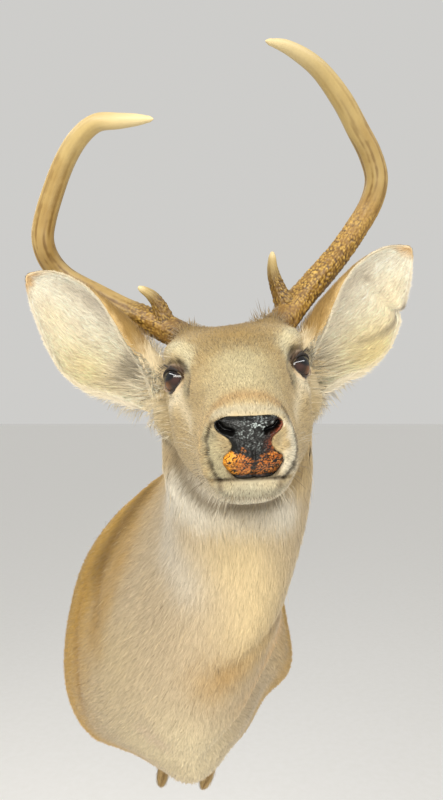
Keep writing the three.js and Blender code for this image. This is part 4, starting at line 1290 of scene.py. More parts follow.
    def edge_hair(self, s: Array, outer: Array, inner: Array, colours: Array, coat: Material) -> None:
        """Makes the fringe along the ear's two edges, longest low down near the root.

        Each tuft starts between the faces at an edge, and points away from the ear's middle and a
        little towards the tip.

        Args:
            s: parts of the length of the rings.
            outer: places of the outer face.
            inner: places of the inner face.
            colours: colours of the inner face.
            coat: finish of the hair.
        """
        n, last = self.fringe, self.columns - 1
        rng = np.random.default_rng(50 + self.side.value)
        row = rng.uniform(np.searchsorted(s, -0.1), self.rows - 7, n)
        low = rng.uniform(size=n) < 0.6
        edge_at, within_at = np.where(low, 0, last), np.where(low, 6, last - 6)
        i = np.floor(row).astype(int)
        t = (row - i)[:, None]
        at = lambda grid, k: grid[i, k] * (1 - t) + grid[i + 1, k] * t
        edge = (at(outer, edge_at) + at(inner, edge_at)) / 2
        within = (at(outer, within_at) + at(inner, within_at)) / 2
        onward = unit(at(np.roll(inner, -2, axis=0), edge_at) - at(inner, edge_at))
        part = s[i]
        away = unit(unit(edge - within) + 0.75 * onward + 0.25 * rng.normal(size=(n, 3)))
        length = np.where(low, 4.5 + 8 * smooth(0.5, 0.05, part), 3.2) * rng.uniform(0.6, 1.5, n)
        length = length * (1 - 0.65 * smooth(0.82, 0.95, part))
        long = length[:, None]
        front = unit(inner.mean((0, 1)) - outer.mean((0, 1)))
        out = unit(front + 0.2 * away + 0.25 * rng.normal(size=(n, 3)))
        tip = edge + away * long + 0.10 * long * onward
        line = edge - rng.uniform(0.8, 5.0, (n, 1)) * away, edge + 0.4 * long * away, tip
        colour = clamp(at(colours, edge_at) * rng.uniform(0.78, 1.0, (n, 1)))
        spot = stacked(np.clip(row / self.rows, 0.01, 0.99), np.where(low, 0.01, 0.99))
        spindles(line, out, 0.3 + 0.02 * length, colour, spot, flat=0.5).piece(
            f"ear_{self.side.word}_fringe", "ear", coat)


# ---- eyes
@dataclass(frozen=True)
class Eyeball:
    """A glass eye with its lids' rims and lashes."""

    side: Side  # which side of the deer
    cornea: float = 0.9  # how far the clear front bulges
    rings: int = 64  # divisions of the ball
    round: int = 72
    pupil: tuple = (1, 2, 9, 5.5)  # (across, up, half length, half height)
    ring: tuple = (11.8, 14.6)  # distances from the gaze between which the iris turns dark
    rim: float = 0.85  # radius of the dark rim of the lids
    lashes: int = 46  # number of lashes
    lash_length: float = 10.5  # their length
    lash_span: tuple = (0.14, 0.52)  # parts of the way round the lids between which they stand

    def ball(self) -> Surface:
        """Ball along the gaze, its radius at angle p from it growing by cornea * (exp(-(p / 0.55)^4) - 1)."""
        p = np.linspace(0.012, math.pi - 0.012, self.rings)[:, None]
        q = np.arange(self.round)[None] / self.round * TURN
        size = EYE.radius + self.cornea * bell(p, 0.55, 4) - self.cornea
        ways = stacked(np.sin(p) * np.cos(q), np.sin(p) * np.sin(q), np.cos(p) + 0 * q)
        local = size[..., None] * ways
        flat = local * (1, 1, 0)
        patch = lambda x, y, reach: bell(size_of(flat - (x, y, 0)), reach)
        fibres = 0.5 + 0.5 * np.sin(q * 46 + 3 * np.sin(5 * q)) * np.ones_like(local[..., 0])
        across, up, long, tall = self.pupil
        pupil = smooth(1.2, 0.7, np.hypot((local[..., 0] - across) / long, (local[..., 1] - up) / tall))
        ring = smooth(*self.ring, np.hypot(local[..., 0], local[..., 1]))
        colour = paint(linear("15110d") + 0 * local,
            ("241a12", fibres),
            # brown iris, lighter low down: partly its own colour, partly painted light where light reaches it
            # through the glass
            ("734a24", clamp(patch(-2, -7.4, 4.4) * (0.7 + 0.3 * fibres))),
            ("4c322c", 0.6 * patch(9, -3.0, 4.5)),
            # painted reflection: a grey-green glow of the surroundings on the upper glass
            ("2f3730", 0.5 * patch(-7, 5.0, 4.5)),
            ("07080a", pupil),
            ("180d06", 0.92 * ring))
        return rolled(EYE.to_model(local, self.side.value), colour)

    def lid_rim(self) -> Surface:
        """Dark bare edge of the lids: a tube round the opening, thicker above, lying on the ball. Low down
        towards the outer corner it is pale: partly the lids' own pinkish tan, partly painted light on their
        edge.
        """
        angle = np.linspace(0, TURN, 120, endpoint=False)
        above = smooth(-0.2, 0.8, np.sin(angle))
        size = self.rim * (0.75 + 0.55 * above)
        middle = EYE.edge(angle, 0.45)
        ahead = unit(np.roll(middle, -1, axis=0) - np.roll(middle, 1, axis=0))
        rise = unit(middle)
        inward = np.cross(rise, ahead)
        turn = (np.arange(12) / 12 * TURN)[:, None]
        ring = np.cos(turn)[None] * rise[:, None] + np.sin(turn)[None] * inward[:, None]
        grid = middle[:, None] + size[:, None, None] * ring
        count, around = grid.shape[:2]
        row, column = cell_corners(count, around)
        quads = row % count * around + column % around
        points = EYE.to_model(grid, self.side.value).reshape(-1, 3)
        # pale: partly the lid's own pinkish tan, partly painted light where its edge catches the lamps
        pale = np.clip(smooth(0.3, -0.9, np.cos(angle)) * (1 - above) * 1.2, 0, 0.85)
        colour = mix(linear("20160f") + np.zeros((count, 3)), linear("b09880"), pale)
        return Surface(points, quads, markings=np.repeat(colour, around, axis=0)).outward()

    def lash_tufts(self) -> Surface:
        """Lashes from the upper lid, longest past its middle, curving up and out to the side."""
        rng = np.random.default_rng(60)
        n = self.lashes
        angle = np.linspace(*self.lash_span, n) * TURN + rng.normal(0, 0.02, n)
        root = EYE.edge(angle, 1.2)
        out = unit(root)
        sweep = unit(stacked(-0.35 - 0.9 * (angle / math.pi) ** 2, 0.35 + 0 * angle, 0.55 + 0 * angle))
        long = self.lash_length * (0.45 + 0.55 * np.sin(clamp((angle - 0.6) / 2.6) * math.pi))
        long = (long * rng.uniform(0.75, 1.15, n))[:, None]
        away = unit(sweep + 0.5 * out + 0.10 * rng.normal(size=(n, 3)))
        belly = root + 0.45 * long * away + 0.05 * long * out
        tip = root + long * away + 0.12 * long * np.array([0, 1.0, -0.3])
        world = [EYE.to_model(p, self.side.value) for p in (root, belly, tip)]
        out = unit(world[0] - EYE.to_model(0 * root, self.side.value))
        return spindles(world, out, 0.42 + 0 * angle, linear("17100b") + 0 * root)

    def build(self, glass: Material, lid: Material) -> None:
        """Makes the ball, the rims and the lashes.

        Args:
            glass: finish of the ball.
            lid: finish of bare dark skin and lashes.
        """
        self.ball().piece(f"eyeball_{self.side.word}", "eye", glass, (f"eye_{self.side.word}",))
        self.lid_rim().piece(f"eyelid_rim_{self.side.word}", "nose", lid)
        self.lash_tufts().piece(f"lashes_{self.side.word}", "coat", lid)


# ---- nose
@dataclass(frozen=True)
class NosePad:
    """The bare leathery pad of the nose, with its nostrils and split."""

    rows: int = 150  # divisions up the pad
    columns: int = 150  # divisions across its face
    cracks: tuple = (1.6, 0.45)  # (size of the grains, depth of the cracks between them)
    pit: float = 8.5  # depth of the nostrils
    rounding: tuple = (5.0, 3.5, 3.4)  # (width at the sides, at top and bottom, depth) of its round rim

    def build(self, material: Material) -> None:
        """Makes the pad: its face on a grid, and a plain back inside the muzzle.

        The face rounds back at its rim along a quarter circle. A nostril is a comma-shaped pit,
        exp(-(distance from a short path / 2.3)^2.6) deep.

        Args:
            material: its finish.
        """
        low, high = NOSE.heights[-1], NOSE.heights[0]
        z = np.linspace(low + 0.3, high - 0.3, self.rows)[:, None] * np.ones(self.columns)
        t = np.linspace(-1, 1, self.columns)[None] * np.ones((self.rows, 1))
        t = signed_power(np.sin(t * math.pi / 2), np.array(0.9))
        half = NOSE.half_width(z) - 0.25
        x = t * half + along(NOSE.drift, z)
        z = z + 1.7 * ripple(stacked(x, 0 * x, 0 * x), 5, 70, 3) * smooth(-24, -17, z)
        flat = stacked(np.abs(x), z, 0 * z)
        wide, tall, deep = self.rounding
        rim = np.minimum((1 - np.abs(t)) * half / wide, np.minimum(z - low, high - z) / tall)
        edge = -deep * (1 - np.sqrt(clamp(1 - (1 - clamp(rim)) ** 2)))
        nx, nz = NOSE.nostril
        comma = ((nx - 4, nz - 2.5, 0), (nx + 1.5, nz - 1, 0), (nx + 4.5, nz + 2.5, 0))
        hole = near(flat, comma, 2.3, 2.6)
        wing = 1.7 * near(flat, ((nx - 2, nz + 6, 0), (nx + 6, nz + 4.5, 0)), 3.6)
        split = -1.0 * bell(x - 3, 1.2) * smooth(-33, -44, z)
        lobes = 1.1 * bell(np.abs(x - 3) - 11, 8) * smooth(-40, -47, z)
        size, depth = self.cracks
        places = stacked(x, z, 0 * z)
        swirl = 1.6 * ripple(places, 10, 71, 2)
        away, tone = cells(x / size + swirl, z / size * 1.15 + swirl, 72)
        grain = -depth * smooth(0.38, 0.72, away) + 0.15 * (tone - 0.5)
        fade = clamp(rim * 1.4)
        f = NOSE.face(x, z) + NOSE.proud + edge - self.pit * hole + wing + split + lobes + grain * fade
        face = HEAD.to_model(stacked(x, f, z))
        back = HEAD.to_model(stacked(x, NOSE.face(x, z) - NOSE.recess + 2.5, z))
        colour = self.colours(places, away, tone, hole, split)
        grid = np.concatenate([face, back[:, ::-1]], 1)
        rolled(grid, np.concatenate([colour, colour[:, ::-1]], 1)).piece(
            "nose_leather", "nose", material, ("nose_pad",))

    @staticmethod
    def colours(places: Array, away: Array, tone: Array, hole: Array, split: Array) -> Array:
        """Black above with a painted grey sheen of reflected light, worn through to amber and orange below,
        with painted shade in the nostrils and the split.

        Args:
            places: (x, z, 0) of the face.
            away: distance from the middle of each grain.
            tone: random number of each grain.
            hole: depth of the nostril, 0 to 1.
            split: depth of the split, 0 or less.

        Returns:
            Linear colours.
        """
        x, z = places[..., 0], places[..., 1]
        wander = ripple(places, 16, 73, 3)
        fine = ripple(places, 5, 74, 2)
        # painted highlight: pale grey glints of reflected light on the black grains, brightest across the top
        # and middle of the pad
        lit = smooth(0.35, 0.95, tone + 0.5 * fine) * smooth(0.5, 0.2, away)
        glint = lambda at, high, wide, tall: np.exp(-(np.hypot((x - at) / wide, (z - high) / tall)) ** 2)
        sheen = glint(8, -23.5, 11, 5) + 0.6 * glint(-3, -30, 8, 3.5) + 0.3 * glint(4, -38, 8, 4)
        red = near(places, ((26, -23, 0), (22, -31, 0), (17, -38, 0)), 4.2)
        colour = paint(linear("0e0e0c") + 0 * places,
            ("ccd6d2", clamp(0.95 * sheen * lit)),
            ("8a4428", 0.8 * red * smooth(0.62, 0.35, away)))
        wedge = 10 * bell(x - 4, 5.5)
        worn = smooth(-41.0, -45.0, z + 3.6 * wander + 4.2 * fine + wedge)
        amber = paint(linear("a85f20") + 0 * colour,
            ("e89c28", smooth(-4, -17, x) * (0.6 + 0.4 * tone)),
            ("8a4a1c", clamp(0.5 * smooth(10, 26, x) + 0.5 * (tone < 0.3))),
            ("d99a4a", 0.5 * (tone > 0.8)))
        lace = 0.50 - 0.12 * smooth(-14, 4, x) + 0.12 * wander
        return paint(mix(colour, amber, worn * smooth(lace + 0.13, lace - 0.10, away + 0.12 * fine)),
            ("0d0907", smooth(-60, -63, z + 1.4 * fine)),
            # painted shade: the nostrils and the split darker by their depth
            ("0a0807", clamp(1.4 * hole)),
            ("120d0a", np.clip(-0.4 * split, 0, 0.6)))


# ---- antlers
@dataclass(frozen=True)
class Antler:
    """One antler: a main beam and a brow tine, pearled and grooved low down and smooth at the points."""

    side: Side  # which side of the deer
    beam: tuple  # path of the beam in the head's frame
    tine: tuple  # path of the tine
    pearled: tuple  # parts of the beam's length between which the pearls fade out
    # radius by part of the length
    beam_radii: tuple = (
        (0, 15.5), (0.08, 14.2), (0.3, 12.4), (0.55, 11.6), (0.75, 9.8), (0.9, 7), (0.97, 4.4), (1, 1.3))
    tine_radii: tuple = ((0, 12), (0.3, 8), (0.7, 5.6), (0.92, 3.6), (1, 1.3))
    beam_rings: int = 400  # rings of points
    tine_rings: int = 90
    round: int = 76  # points round a ring
    pearl: tuple = (2.4, 1.05)  # (size, height) of the pearls
    girth: float = 12.4  # radius at which they are round
    groove: float = 0.75  # depth of the long grooves
    shade: float = 0.82  # how light its colours are
    stain: float = 0.8  # how light the pearled part is beside that

    def tube(self, path: tuple, radii: tuple, rings: int, tine: bool) -> Surface:
        """One branch: a tube along a smooth path, with pearls and grooves added to its radius.

        A pearl is a round cell of a grid laid along and round the branch, as high as
        1 - (distance from its middle / 0.55)^2. Grooves are sines of the angle, wandering along it.

        Args:
            path: places (x, f, z) that it runs through.
            radii: radius by part of the length.
            rings: rings of points.
            tine: whether it is the brow tine.

        Returns:
            The closed branch.
        """
        points = HEAD.to_model(np.array(path, float))
        fine = smooth_rows(points, np.linspace(0, len(points) - 1, 600))
        run = np.concatenate([[0], np.cumsum(np.linalg.norm(np.diff(fine, axis=0), axis=1))])
        s = np.linspace(0, 1, rings)
        s = 1 - (1 - s) ** 1.08
        centre = np.stack([np.interp(s * run[-1], run, fine[:, k]) for k in range(3)], -1)
        ahead = unit(np.gradient(centre, axis=0))
        across = unit(np.cross(ahead, np.array([0.0, 1.0, 0.15])))
        up = np.cross(ahead, across)
        a = np.arange(self.round) / self.round * TURN
        radius = softened(radii, s)
        close = np.sqrt(clamp((1 - s) / 0.012))
        radius = np.where(s > 0.988, radius * close, radius)[:, None]
        distance = (s * run[-1])[:, None]
        size, height = self.pearl
        seed = 80 + self.side.value + 4 * tine
        low, high = (0.35, 0.85) if tine else self.pearled
        rough = smooth(high, low, s)[:, None]
        around = np.round(TURN * self.girth / size)
        sway = 0.6 * np.sin(distance / 17 + 2 * np.cos(a))
        away, tone = cells(distance / (size * 1.7) + 0.5 * np.sin(3 * a), a / TURN * around + sway, seed)
        pearls = clamp(1 - (away / 0.55) ** 2) * (0.3 + 1.0 * tone)
        phase = 1.4 * np.sin(distance / 60 + self.side.value) + 0.5 * np.sin(distance / 23)
        grooves = np.sin(5 * a + phase) + 0.8 * np.sin(9 * a - 1.6 * phase + 1)
        grooves = (grooves + 0.6 * np.sin(15 * a + 2 * phase)) / 2.4
        fade = smooth(1.0, 0.55, s)[:, None] * (0.35 + 0.65 * smooth(0.75, 0.15, s)[:, None])
        relief = rough * height * (pearls - 0.35) + self.groove * fade * grooves
        oval = 1 + 0.06 * np.cos(2 * a + 0.6)
        swing = np.cos(a)[None, :, None] * across[:, None] + np.sin(a)[None, :, None] * up[:, None]
        size_at = radius * oval + relief * clamp(radius / 6)
        grid = centre[:, None] + swing * size_at[..., None]
        return rolled(grid, self.colours(s[:, None], grid, rough, pearls, grooves, tine))

    def colours(self, s: Array, grid: Array, rough: Array, pearls: Array, grooves: Array,
                tine: bool) -> Array:
        """Bone colour, stained brown low down and in the hollows, polished pale on pearls and points.

        Args:
            s: part of the length.
            grid: places.
            rough: how pearled it is.
            pearls: height of the pearls.
            grooves: height of the grooves, below 0 in a hollow.
            tine: whether it is the brow tine.

        Returns:
            Linear colours.
        """
        wander, streak = ripple(grid, 70, 91, 3), ripple(grid, 14, 92, 3)
        hollow = smooth(0.05, -0.75, grooves + 0.25 * streak) * smooth(1.0, 0.5, s)
        colour = paint(linear("c6ac70") + 0 * grid,
            ("95702e", clamp(0.55 - 0.75 * smooth(0.45, 0.95, s) + 0.35 * wander)),
            ("6a480e", 0.9 * hollow * (0.55 + 0.45 * smooth(0.8, 0.2, s))))
        knobs = paint(linear("7d591f") + 0 * grid,
            ("a47a37", clamp(0.5 + 0.5 * wander)),
            ("e0b556", clamp(smooth(0.1, 0.9, pearls) * (0.7 + 0.4 * streak))),
            ("3c2610", 0.7 * smooth(0.12, 0.0, pearls) * smooth(-0.3, 0.4, streak)))
        stained = rough * (smooth(1.0, 0.4, s) if tine else 1.0)
        colour = paint(mix(colour, knobs * self.stain, clamp(stained * 1.1)),
            ("4a3018", 0.65 * smooth(0.13, 0.0, s) * np.ones_like(pearls)),
            ("e2cf9e", 0.8 * smooth(0.8, 0.99, s) * np.ones_like(pearls)))
        return colour * (self.shade * (1 - 0.35 * tine * smooth(1.0, 0.6, s)))[..., None]

    def build(self, material: Material) -> None:
        """Makes the antler as one piece, in place of its three CAD nodes."""
        name = f"antler_{self.side.word}"
        nodes = tuple(f"{name}_{part}" for part in ("base", "beam", "brow_tine"))
        beam = self.tube(self.beam, self.beam_radii, self.beam_rings, tine=False)
        tine = self.tube(self.tine, self.tine_radii, self.tine_rings, tine=True)
        joined(beam, tine).piece(f"{name}_bone", "antler", material, nodes)


LEFT_ANTLER = Antler(
    Side.LEFT,
    beam=((46, -62, 34), (60, -74, 44), (82, -90, 64), (106, -101, 85), (132, -111, 108), (156, -117, 134),
          (175, -115, 160), (181, -106, 184), (173, -93, 208), (157, -75, 231), (138, -53, 256),
          (112, -27, 279), (83, -3, 291), (57, 14, 294)),
    tine=((65, -82, 58), (58, -81, 78), (54, -78, 98), (55, -73, 117)),
    pearled=(0.3, 0.5), shade=0.76, stain=0.97)
RIGHT_ANTLER = Antler(
    Side.RIGHT,
    beam=((-46, -64, 34), (-62, -80, 46), (-86, -92, 60), (-116, -105, 77), (-148, -117, 99),
          (-176, -125, 119), (-190, -122, 140), (-192, -112, 162), (-184, -104, 184), (-167, -90, 211),
          (-148, -73, 234), (-128, -54, 249), (-106, -34, 255), (-80, -9, 247), (-51, 21, 236)),
    tine=((-68, -82, 54), (-71, -80, 72), (-78, -77, 86), (-91, -72, 97)),
    pearled=(0.12, 0.23))


# ---- long hairs
@dataclass(frozen=True)
class LongHairs:
    """Whiskers on the muzzle and chin, and a few guard hairs that stand out of the coat."""

    # (place on the head, spread, number, length, colour), for both sides
    whiskers: tuple = (
        ((31, 140, -44), 9, 6, 34, "d8ccb0"),
        ((30, 142, -60), 12, 12, 20, "54442e"),
        ((10, 149, -85), 20, 26, 8, "8a7656"),
        ((16, 140, -88), 16, 6, 26, "4a3b28"),
        ((30, 118, -92), 14, 16, 22, "e8dcc0"),
        ((58, 26, 22), 4, 4, 30, "d8ccb0"),
        ((80, -66, -34), 26, 90, 26, "f1e4c4"),
        ((84, -70, -50), 20, 14, 30, "5c4a34"))
    guards: int = 700  # number of guard hairs
    guard_length: float = 22  # their length
    widths: tuple = (0.30, 0.32)  # of whiskers and of guard hairs
    wall: float = -1.0  # y that no hair passes

    def build(self, skin: BodySkin, material: Material) -> None:
        """Makes the hairs, as slim bent tufts rooted in the skin, with a finish."""
        rng = np.random.default_rng(90)
        rings, count = skin.sheet.points.shape[:2]
        points, normals = skin.sheet.points.reshape(-1, 3), skin.sheet.normals.reshape(-1, 3)
        h = HEAD.from_model(skin.sheet.points).reshape(-1, 3)
        picks, lengths, colours = [], [], []
        for place, spread, number, length, colour in self.whiskers:
            for side in (1, -1):
                away = np.linalg.norm(h - np.array(place) * (side, 1, 1), axis=1)
                picks.append(rng.choice(np.argsort(away)[:int(spread**2)], number))
                lengths.append(length * rng.uniform(0.5, 1.2, number))
                colours.append(linear(colour) + np.zeros((number, 3)))
        first = int(np.searchsorted(skin.u, 10)) * count
        picks.append(rng.integers(first, len(points) - 8 * count, self.guards))
        lengths.append(self.guard_length * rng.uniform(0.5, 1.4, self.guards))
        dark = (rng.uniform(size=self.guards) < 0.3).astype(float)
        colours.append(mix(linear("d9c294") + np.zeros((self.guards, 3)), linear("5c4426"), dark))
        pick, length, colour = (np.concatenate(parts) for parts in (picks, lengths, colours))
        length = length[:, None]
        long = pick < first
        onward = unit(points[np.minimum(pick + 2 * count, len(points) - 1)] - points[pick])
        out = normals[pick]
        way = unit(onward + np.where(long, 0.9, 0.30)[:, None] * out + 0.12 * rng.normal(size=out.shape))
        droop = np.array([0, 0, -1.0]) * 0.12 * length * long[:, None]
        root = points[pick] - 0.5 * out
        belly, tip = root + 0.5 * length * way, root + length * unit(way + 0.25 * onward) + droop
        for place in (belly, tip):
            place[:, 1] = np.minimum(place[:, 1], self.wall)
        spot = stacked(pick // count / rings, pick % count / count)
        spindles((root, belly, tip), out, np.where(long, *self.widths), colour, spot).piece(
            "whiskers_and_guard_hairs", "coat", material)


# ---- board, hanger and loose ends of hide
@dataclass(frozen=True)
class Board:
    """The wooden back board, let into the rear of the shoulders."""

    half_width: float = 112  # half its width
    top: float = 170  # heights of its edges
    bottom: float = -150
    corner: float = 0.62  # power of its rounded corners
    clearance: float = 0.6  # room round it in the form

    def outline(self, v: Array) -> Array:
        """Places (x, 0, z) of the recess, at angles from the top towards the deer's left.

        x is the half width times sin v, and z the half height times cos v from the middle, each to
        the corner's power.

        Args:
            v: the angles.

        Returns:
            One place for each angle.
        """
        x = (self.half_width + self.clearance) * signed_power(np.sin(v), np.array(self.corner))
        tall = (self.top - self.bottom) / 2 + self.clearance
        z = (self.top + self.bottom) / 2 + tall * signed_power(np.cos(v), np.array(self.corner))
        return stacked(x, 0 * v, z)

    @staticmethod
    def dress(wood: Material, steel: Material) -> None:
        """Gives the board and its hanger, whose shapes are right, their finishes."""
        for name, material in (("back_board", wood), ("wall_hanger", steel)):
            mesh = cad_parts[name].data
            mesh.materials.clear()
            mesh.materials.append(material)


BOARD = Board()


@dataclass(frozen=True)
class HideTab:
    """A short loose end of hide below the brisket, rolled up as it dried, with frayed hair."""

    side: Side  # which side of the deer
    start: tuple  # its ends
    end: tuple
    radius: float  # half its width
    rings: int = 60  # divisions of its surface
    round: int = 48
    hairs: int = 900  # number of tufts on it

    def build(self, hide: Material, coat: Material) -> None:
        """Makes the roll and its hair.

        The roll is a flattened tube, its radius times 0.72 + 0.28 * sin(pi * (0.15 + 0.7t)), with a
        deep groove along it where the edge curls under, and a ragged end.

        Args:
            hide: finish of the bare hide.
            coat: finish of the hair.
        """
        t = np.linspace(-0.25, 1, self.rings)
        a = np.arange(self.round) / self.round * TURN
        start, end = np.array(self.start, float), np.array(self.end, float)
        ahead = unit(end - start)
        across = unit(np.cross(ahead, np.array([0.0, 1.0, 0.0])))
        up = np.cross(across, ahead)
        size = self.radius * (0.72 + 0.28 * np.sin(math.pi * (0.15 + 0.7 * clamp(t))))
        size = size * np.sqrt(clamp((1.001 - t) / 0.10)) * (1 - 0.25 * smooth(0.6, 1.0, t))
        groove = 1 - 0.42 * bell(np.mod(a - 4.2 + 0.8 * t[:, None], TURN) - 1.2, 0.33)
        curl = 1.5 * np.sin(2.2 * t + self.side.value)
        x = size[:, None] * np.cos(a) * groove + curl[:, None]
        y = 0.62 * size[:, None] * np.sin(a) * groove
        centre = start + (end - start) * t[:, None]
        grid = centre[:, None] + x[..., None] * across + y[..., None] * up
        grid = grid + 0.35 * ripple(grid, 7, 95, 2)[..., None] * unit(grid - centre[:, None] + 1e-6)
        # painted shade: darker in the groove where the edge curls under
        colour = mix(linear("b39869") + 0 * grid, linear("82643b"), clamp(1.6 * (1 - groove)))
        colour = mix(colour, linear("b08e5c"), 0.4 * smooth(0.85, 1.0, t)[:, None] * np.ones(self.round))
        name = f"hide_tab_{self.side.word}"
        rolled(grid, colour).piece(f"{name}_roll", "hide", hide, (name,))
        sheet = Sheet.over(grid, True, grid - grid.mean((0, 1)))
        full = np.ones(grid.shape[:2])
        Coat(f"{name}_hair", sheet, self.hairs, 7.0 * full, 0.30 * full, colour, full * (t < 0.97)[:, None],
             0.03 * full, 0.2 * full, "hide", coat, seed=97 + self.side.value).pieces()


HIDE_TABS = (
    HideTab(Side.RIGHT, (-22, -20, -200), (-29, -34, -226), 8),
    HideTab(Side.LEFT, (50, -22, -196), (37, -36, -229), 8.5))


# ---- finishes
@dataclass
class Bench:
    """Adds and joins the nodes of one shader tree."""

    tree: bpy.types.NodeTree

    def add(self, kind: str, inputs: dict | None = None, **settings: object) -> bpy.types.Node:
        """Adds a node.

        Args:
            kind: the node's type, without its ShaderNode.
            inputs: sockets by name or number, each given a value or joined to an output.
            settings: the node's own settings.

        Returns:
            The node.
        """
        node = self.tree.nodes.new(f"ShaderNode{kind}")
        for name, value in settings.items():
            setattr(node, name, value)
        for socket, value in (inputs or {}).items():
            if isinstance(value, Socket):
                self.tree.links.new(value, node.inputs[socket])
            else:
                node.inputs[socket].default_value = value
        return node

    def maths(self, operation: str, *values: object) -> Socket:
        """Joins values by one step of arithmetic."""
        return self.add("Math", dict(enumerate(values)), operation=operation).outputs[0]

    def noise(self, vector: Socket, scale: tuple, detail: float) -> Socket:
        """Cloudy noise from 0 to 1, scaled along each axis."""
        inputs = {"Vector": self.stretched(vector, scale), "Scale": 1.0, "Detail": detail}
        return self.add("TexNoise", inputs).outputs["Fac"]

    def stretched(self, vector: Socket, scale: tuple) -> Socket:
        """Coordinates scaled differently along each axis."""
        return self.add("Mapping", {"Vector": vector, "Scale": scale}).outputs[0]

    def spread(self, value: Socket, low: float, high: float, to_low: float, to_high: float) -> Socket:
        """Carries a range of values onto another."""
        return self.add("MapRange", {0: value, 1: low, 2: high, 3: to_low, 4: to_high}).outputs[0]

    def blend(self, share: object, under: object, over: object) -> Socket:
        """Mixes two colours."""
        node = self.add("Mix", data_type="RGBA")
        colours = [s for s in node.inputs if s.type == "RGBA"]
        for socket, value in zip((node.inputs[0], *colours), (share, under, over)):
            if isinstance(value, Socket):
                self.tree.links.new(value, socket)
            else:
                socket.default_value = value
        return next(s for s in node.outputs if s.type == "RGBA")

    def effect(self, effect: "Effect", inputs: dict) -> bpy.types.Node:
        """Adds the group of a shared effect."""
        return self.add("Group", inputs, node_tree=effect_group(effect))

class Effect(Enum):
    """Surface effects that several finishes share, each a group of nodes."""

    HAIR_GRAIN = "hair_grain"
    DUST = "settled_dust"
    FIBRE = "fibre_streaks"


# (scale along each axis, detail, share) of the two noises in an effect, each stretched along one axis
STREAKS = {
    Effect.HAIR_GRAIN: (((45, 900, 900), 3.0, 0.65), ((18, 190, 190), 3.0, 0.35)),
    Effect.FIBRE: (((260, 260, 9), 5.0, 0.5), ((34, 34, 1.6), 2.0, 0.5))}


def effect_group(effect: Effect) -> bpy.types.NodeTree:
    """Makes the node group of an effect once, and finds it again after that.

    Dust is cloudy noise where the surface faces up. The others are noise stretched along one axis.

    Args:
        effect: which one.

    Returns:
        The group, with inputs Vector, Size and Amount, and outputs Tone and Height.
    """
    known = bpy.data.node_groups.get(effect.value)
    if known:
        return known
    tree = bpy.data.node_groups.new(effect.value, "ShaderNodeTree")
    tree.interface.new_socket("Vector", in_out="INPUT", socket_type="NodeSocketVector")
    for name, value in (("Size", 1.0), ("Amount", 0.1)):
        tree.interface.new_socket(name, in_out="INPUT", socket_type="NodeSocketFloat").default_value = value
    for name in ("Tone", "Height"):
        tree.interface.new_socket(name, in_out="OUTPUT", socket_type="NodeSocketFloat")
    bench = Bench(tree)
    given = tree.nodes.new("NodeGroupInput").outputs
    result = tree.nodes.new("NodeGroupOutput")
    sized = bench.add("VectorMath", {0: given["Vector"]}, operation="SCALE")
    tree.links.new(given["Size"], sized.inputs["Scale"])
    vector = sized.outputs[0]
    if effect is Effect.DUST:
        facing = bench.add("SeparateXYZ", {0: bench.add("NewGeometry").outputs["Normal"]}).outputs[2]
        cloud = bench.noise(vector, (30, 30, 30), 5.0)
        height = bench.maths("MULTIPLY", bench.spread(facing, 0.1, 0.95, 0.0, 1.0), cloud)
    else:
        first, second = (bench.noise(vector, scale, detail) for scale, detail, _ in STREAKS[effect])
        a, b = (share for _, _, share in STREAKS[effect])
        height = bench.maths("ADD", bench.maths("MULTIPLY", first, a), bench.maths("MULTIPLY", second, b))
    middle, start = (0.0, 0.0) if effect is Effect.DUST else (0.5, 1.0)
    swing = bench.maths("MULTIPLY", bench.maths("SUBTRACT", height, middle), given["Amount"])
    tree.links.new(bench.maths("ADD", swing, start), result.inputs["Tone"])
    tree.links.new(height, result.inputs["Height"])
    return tree


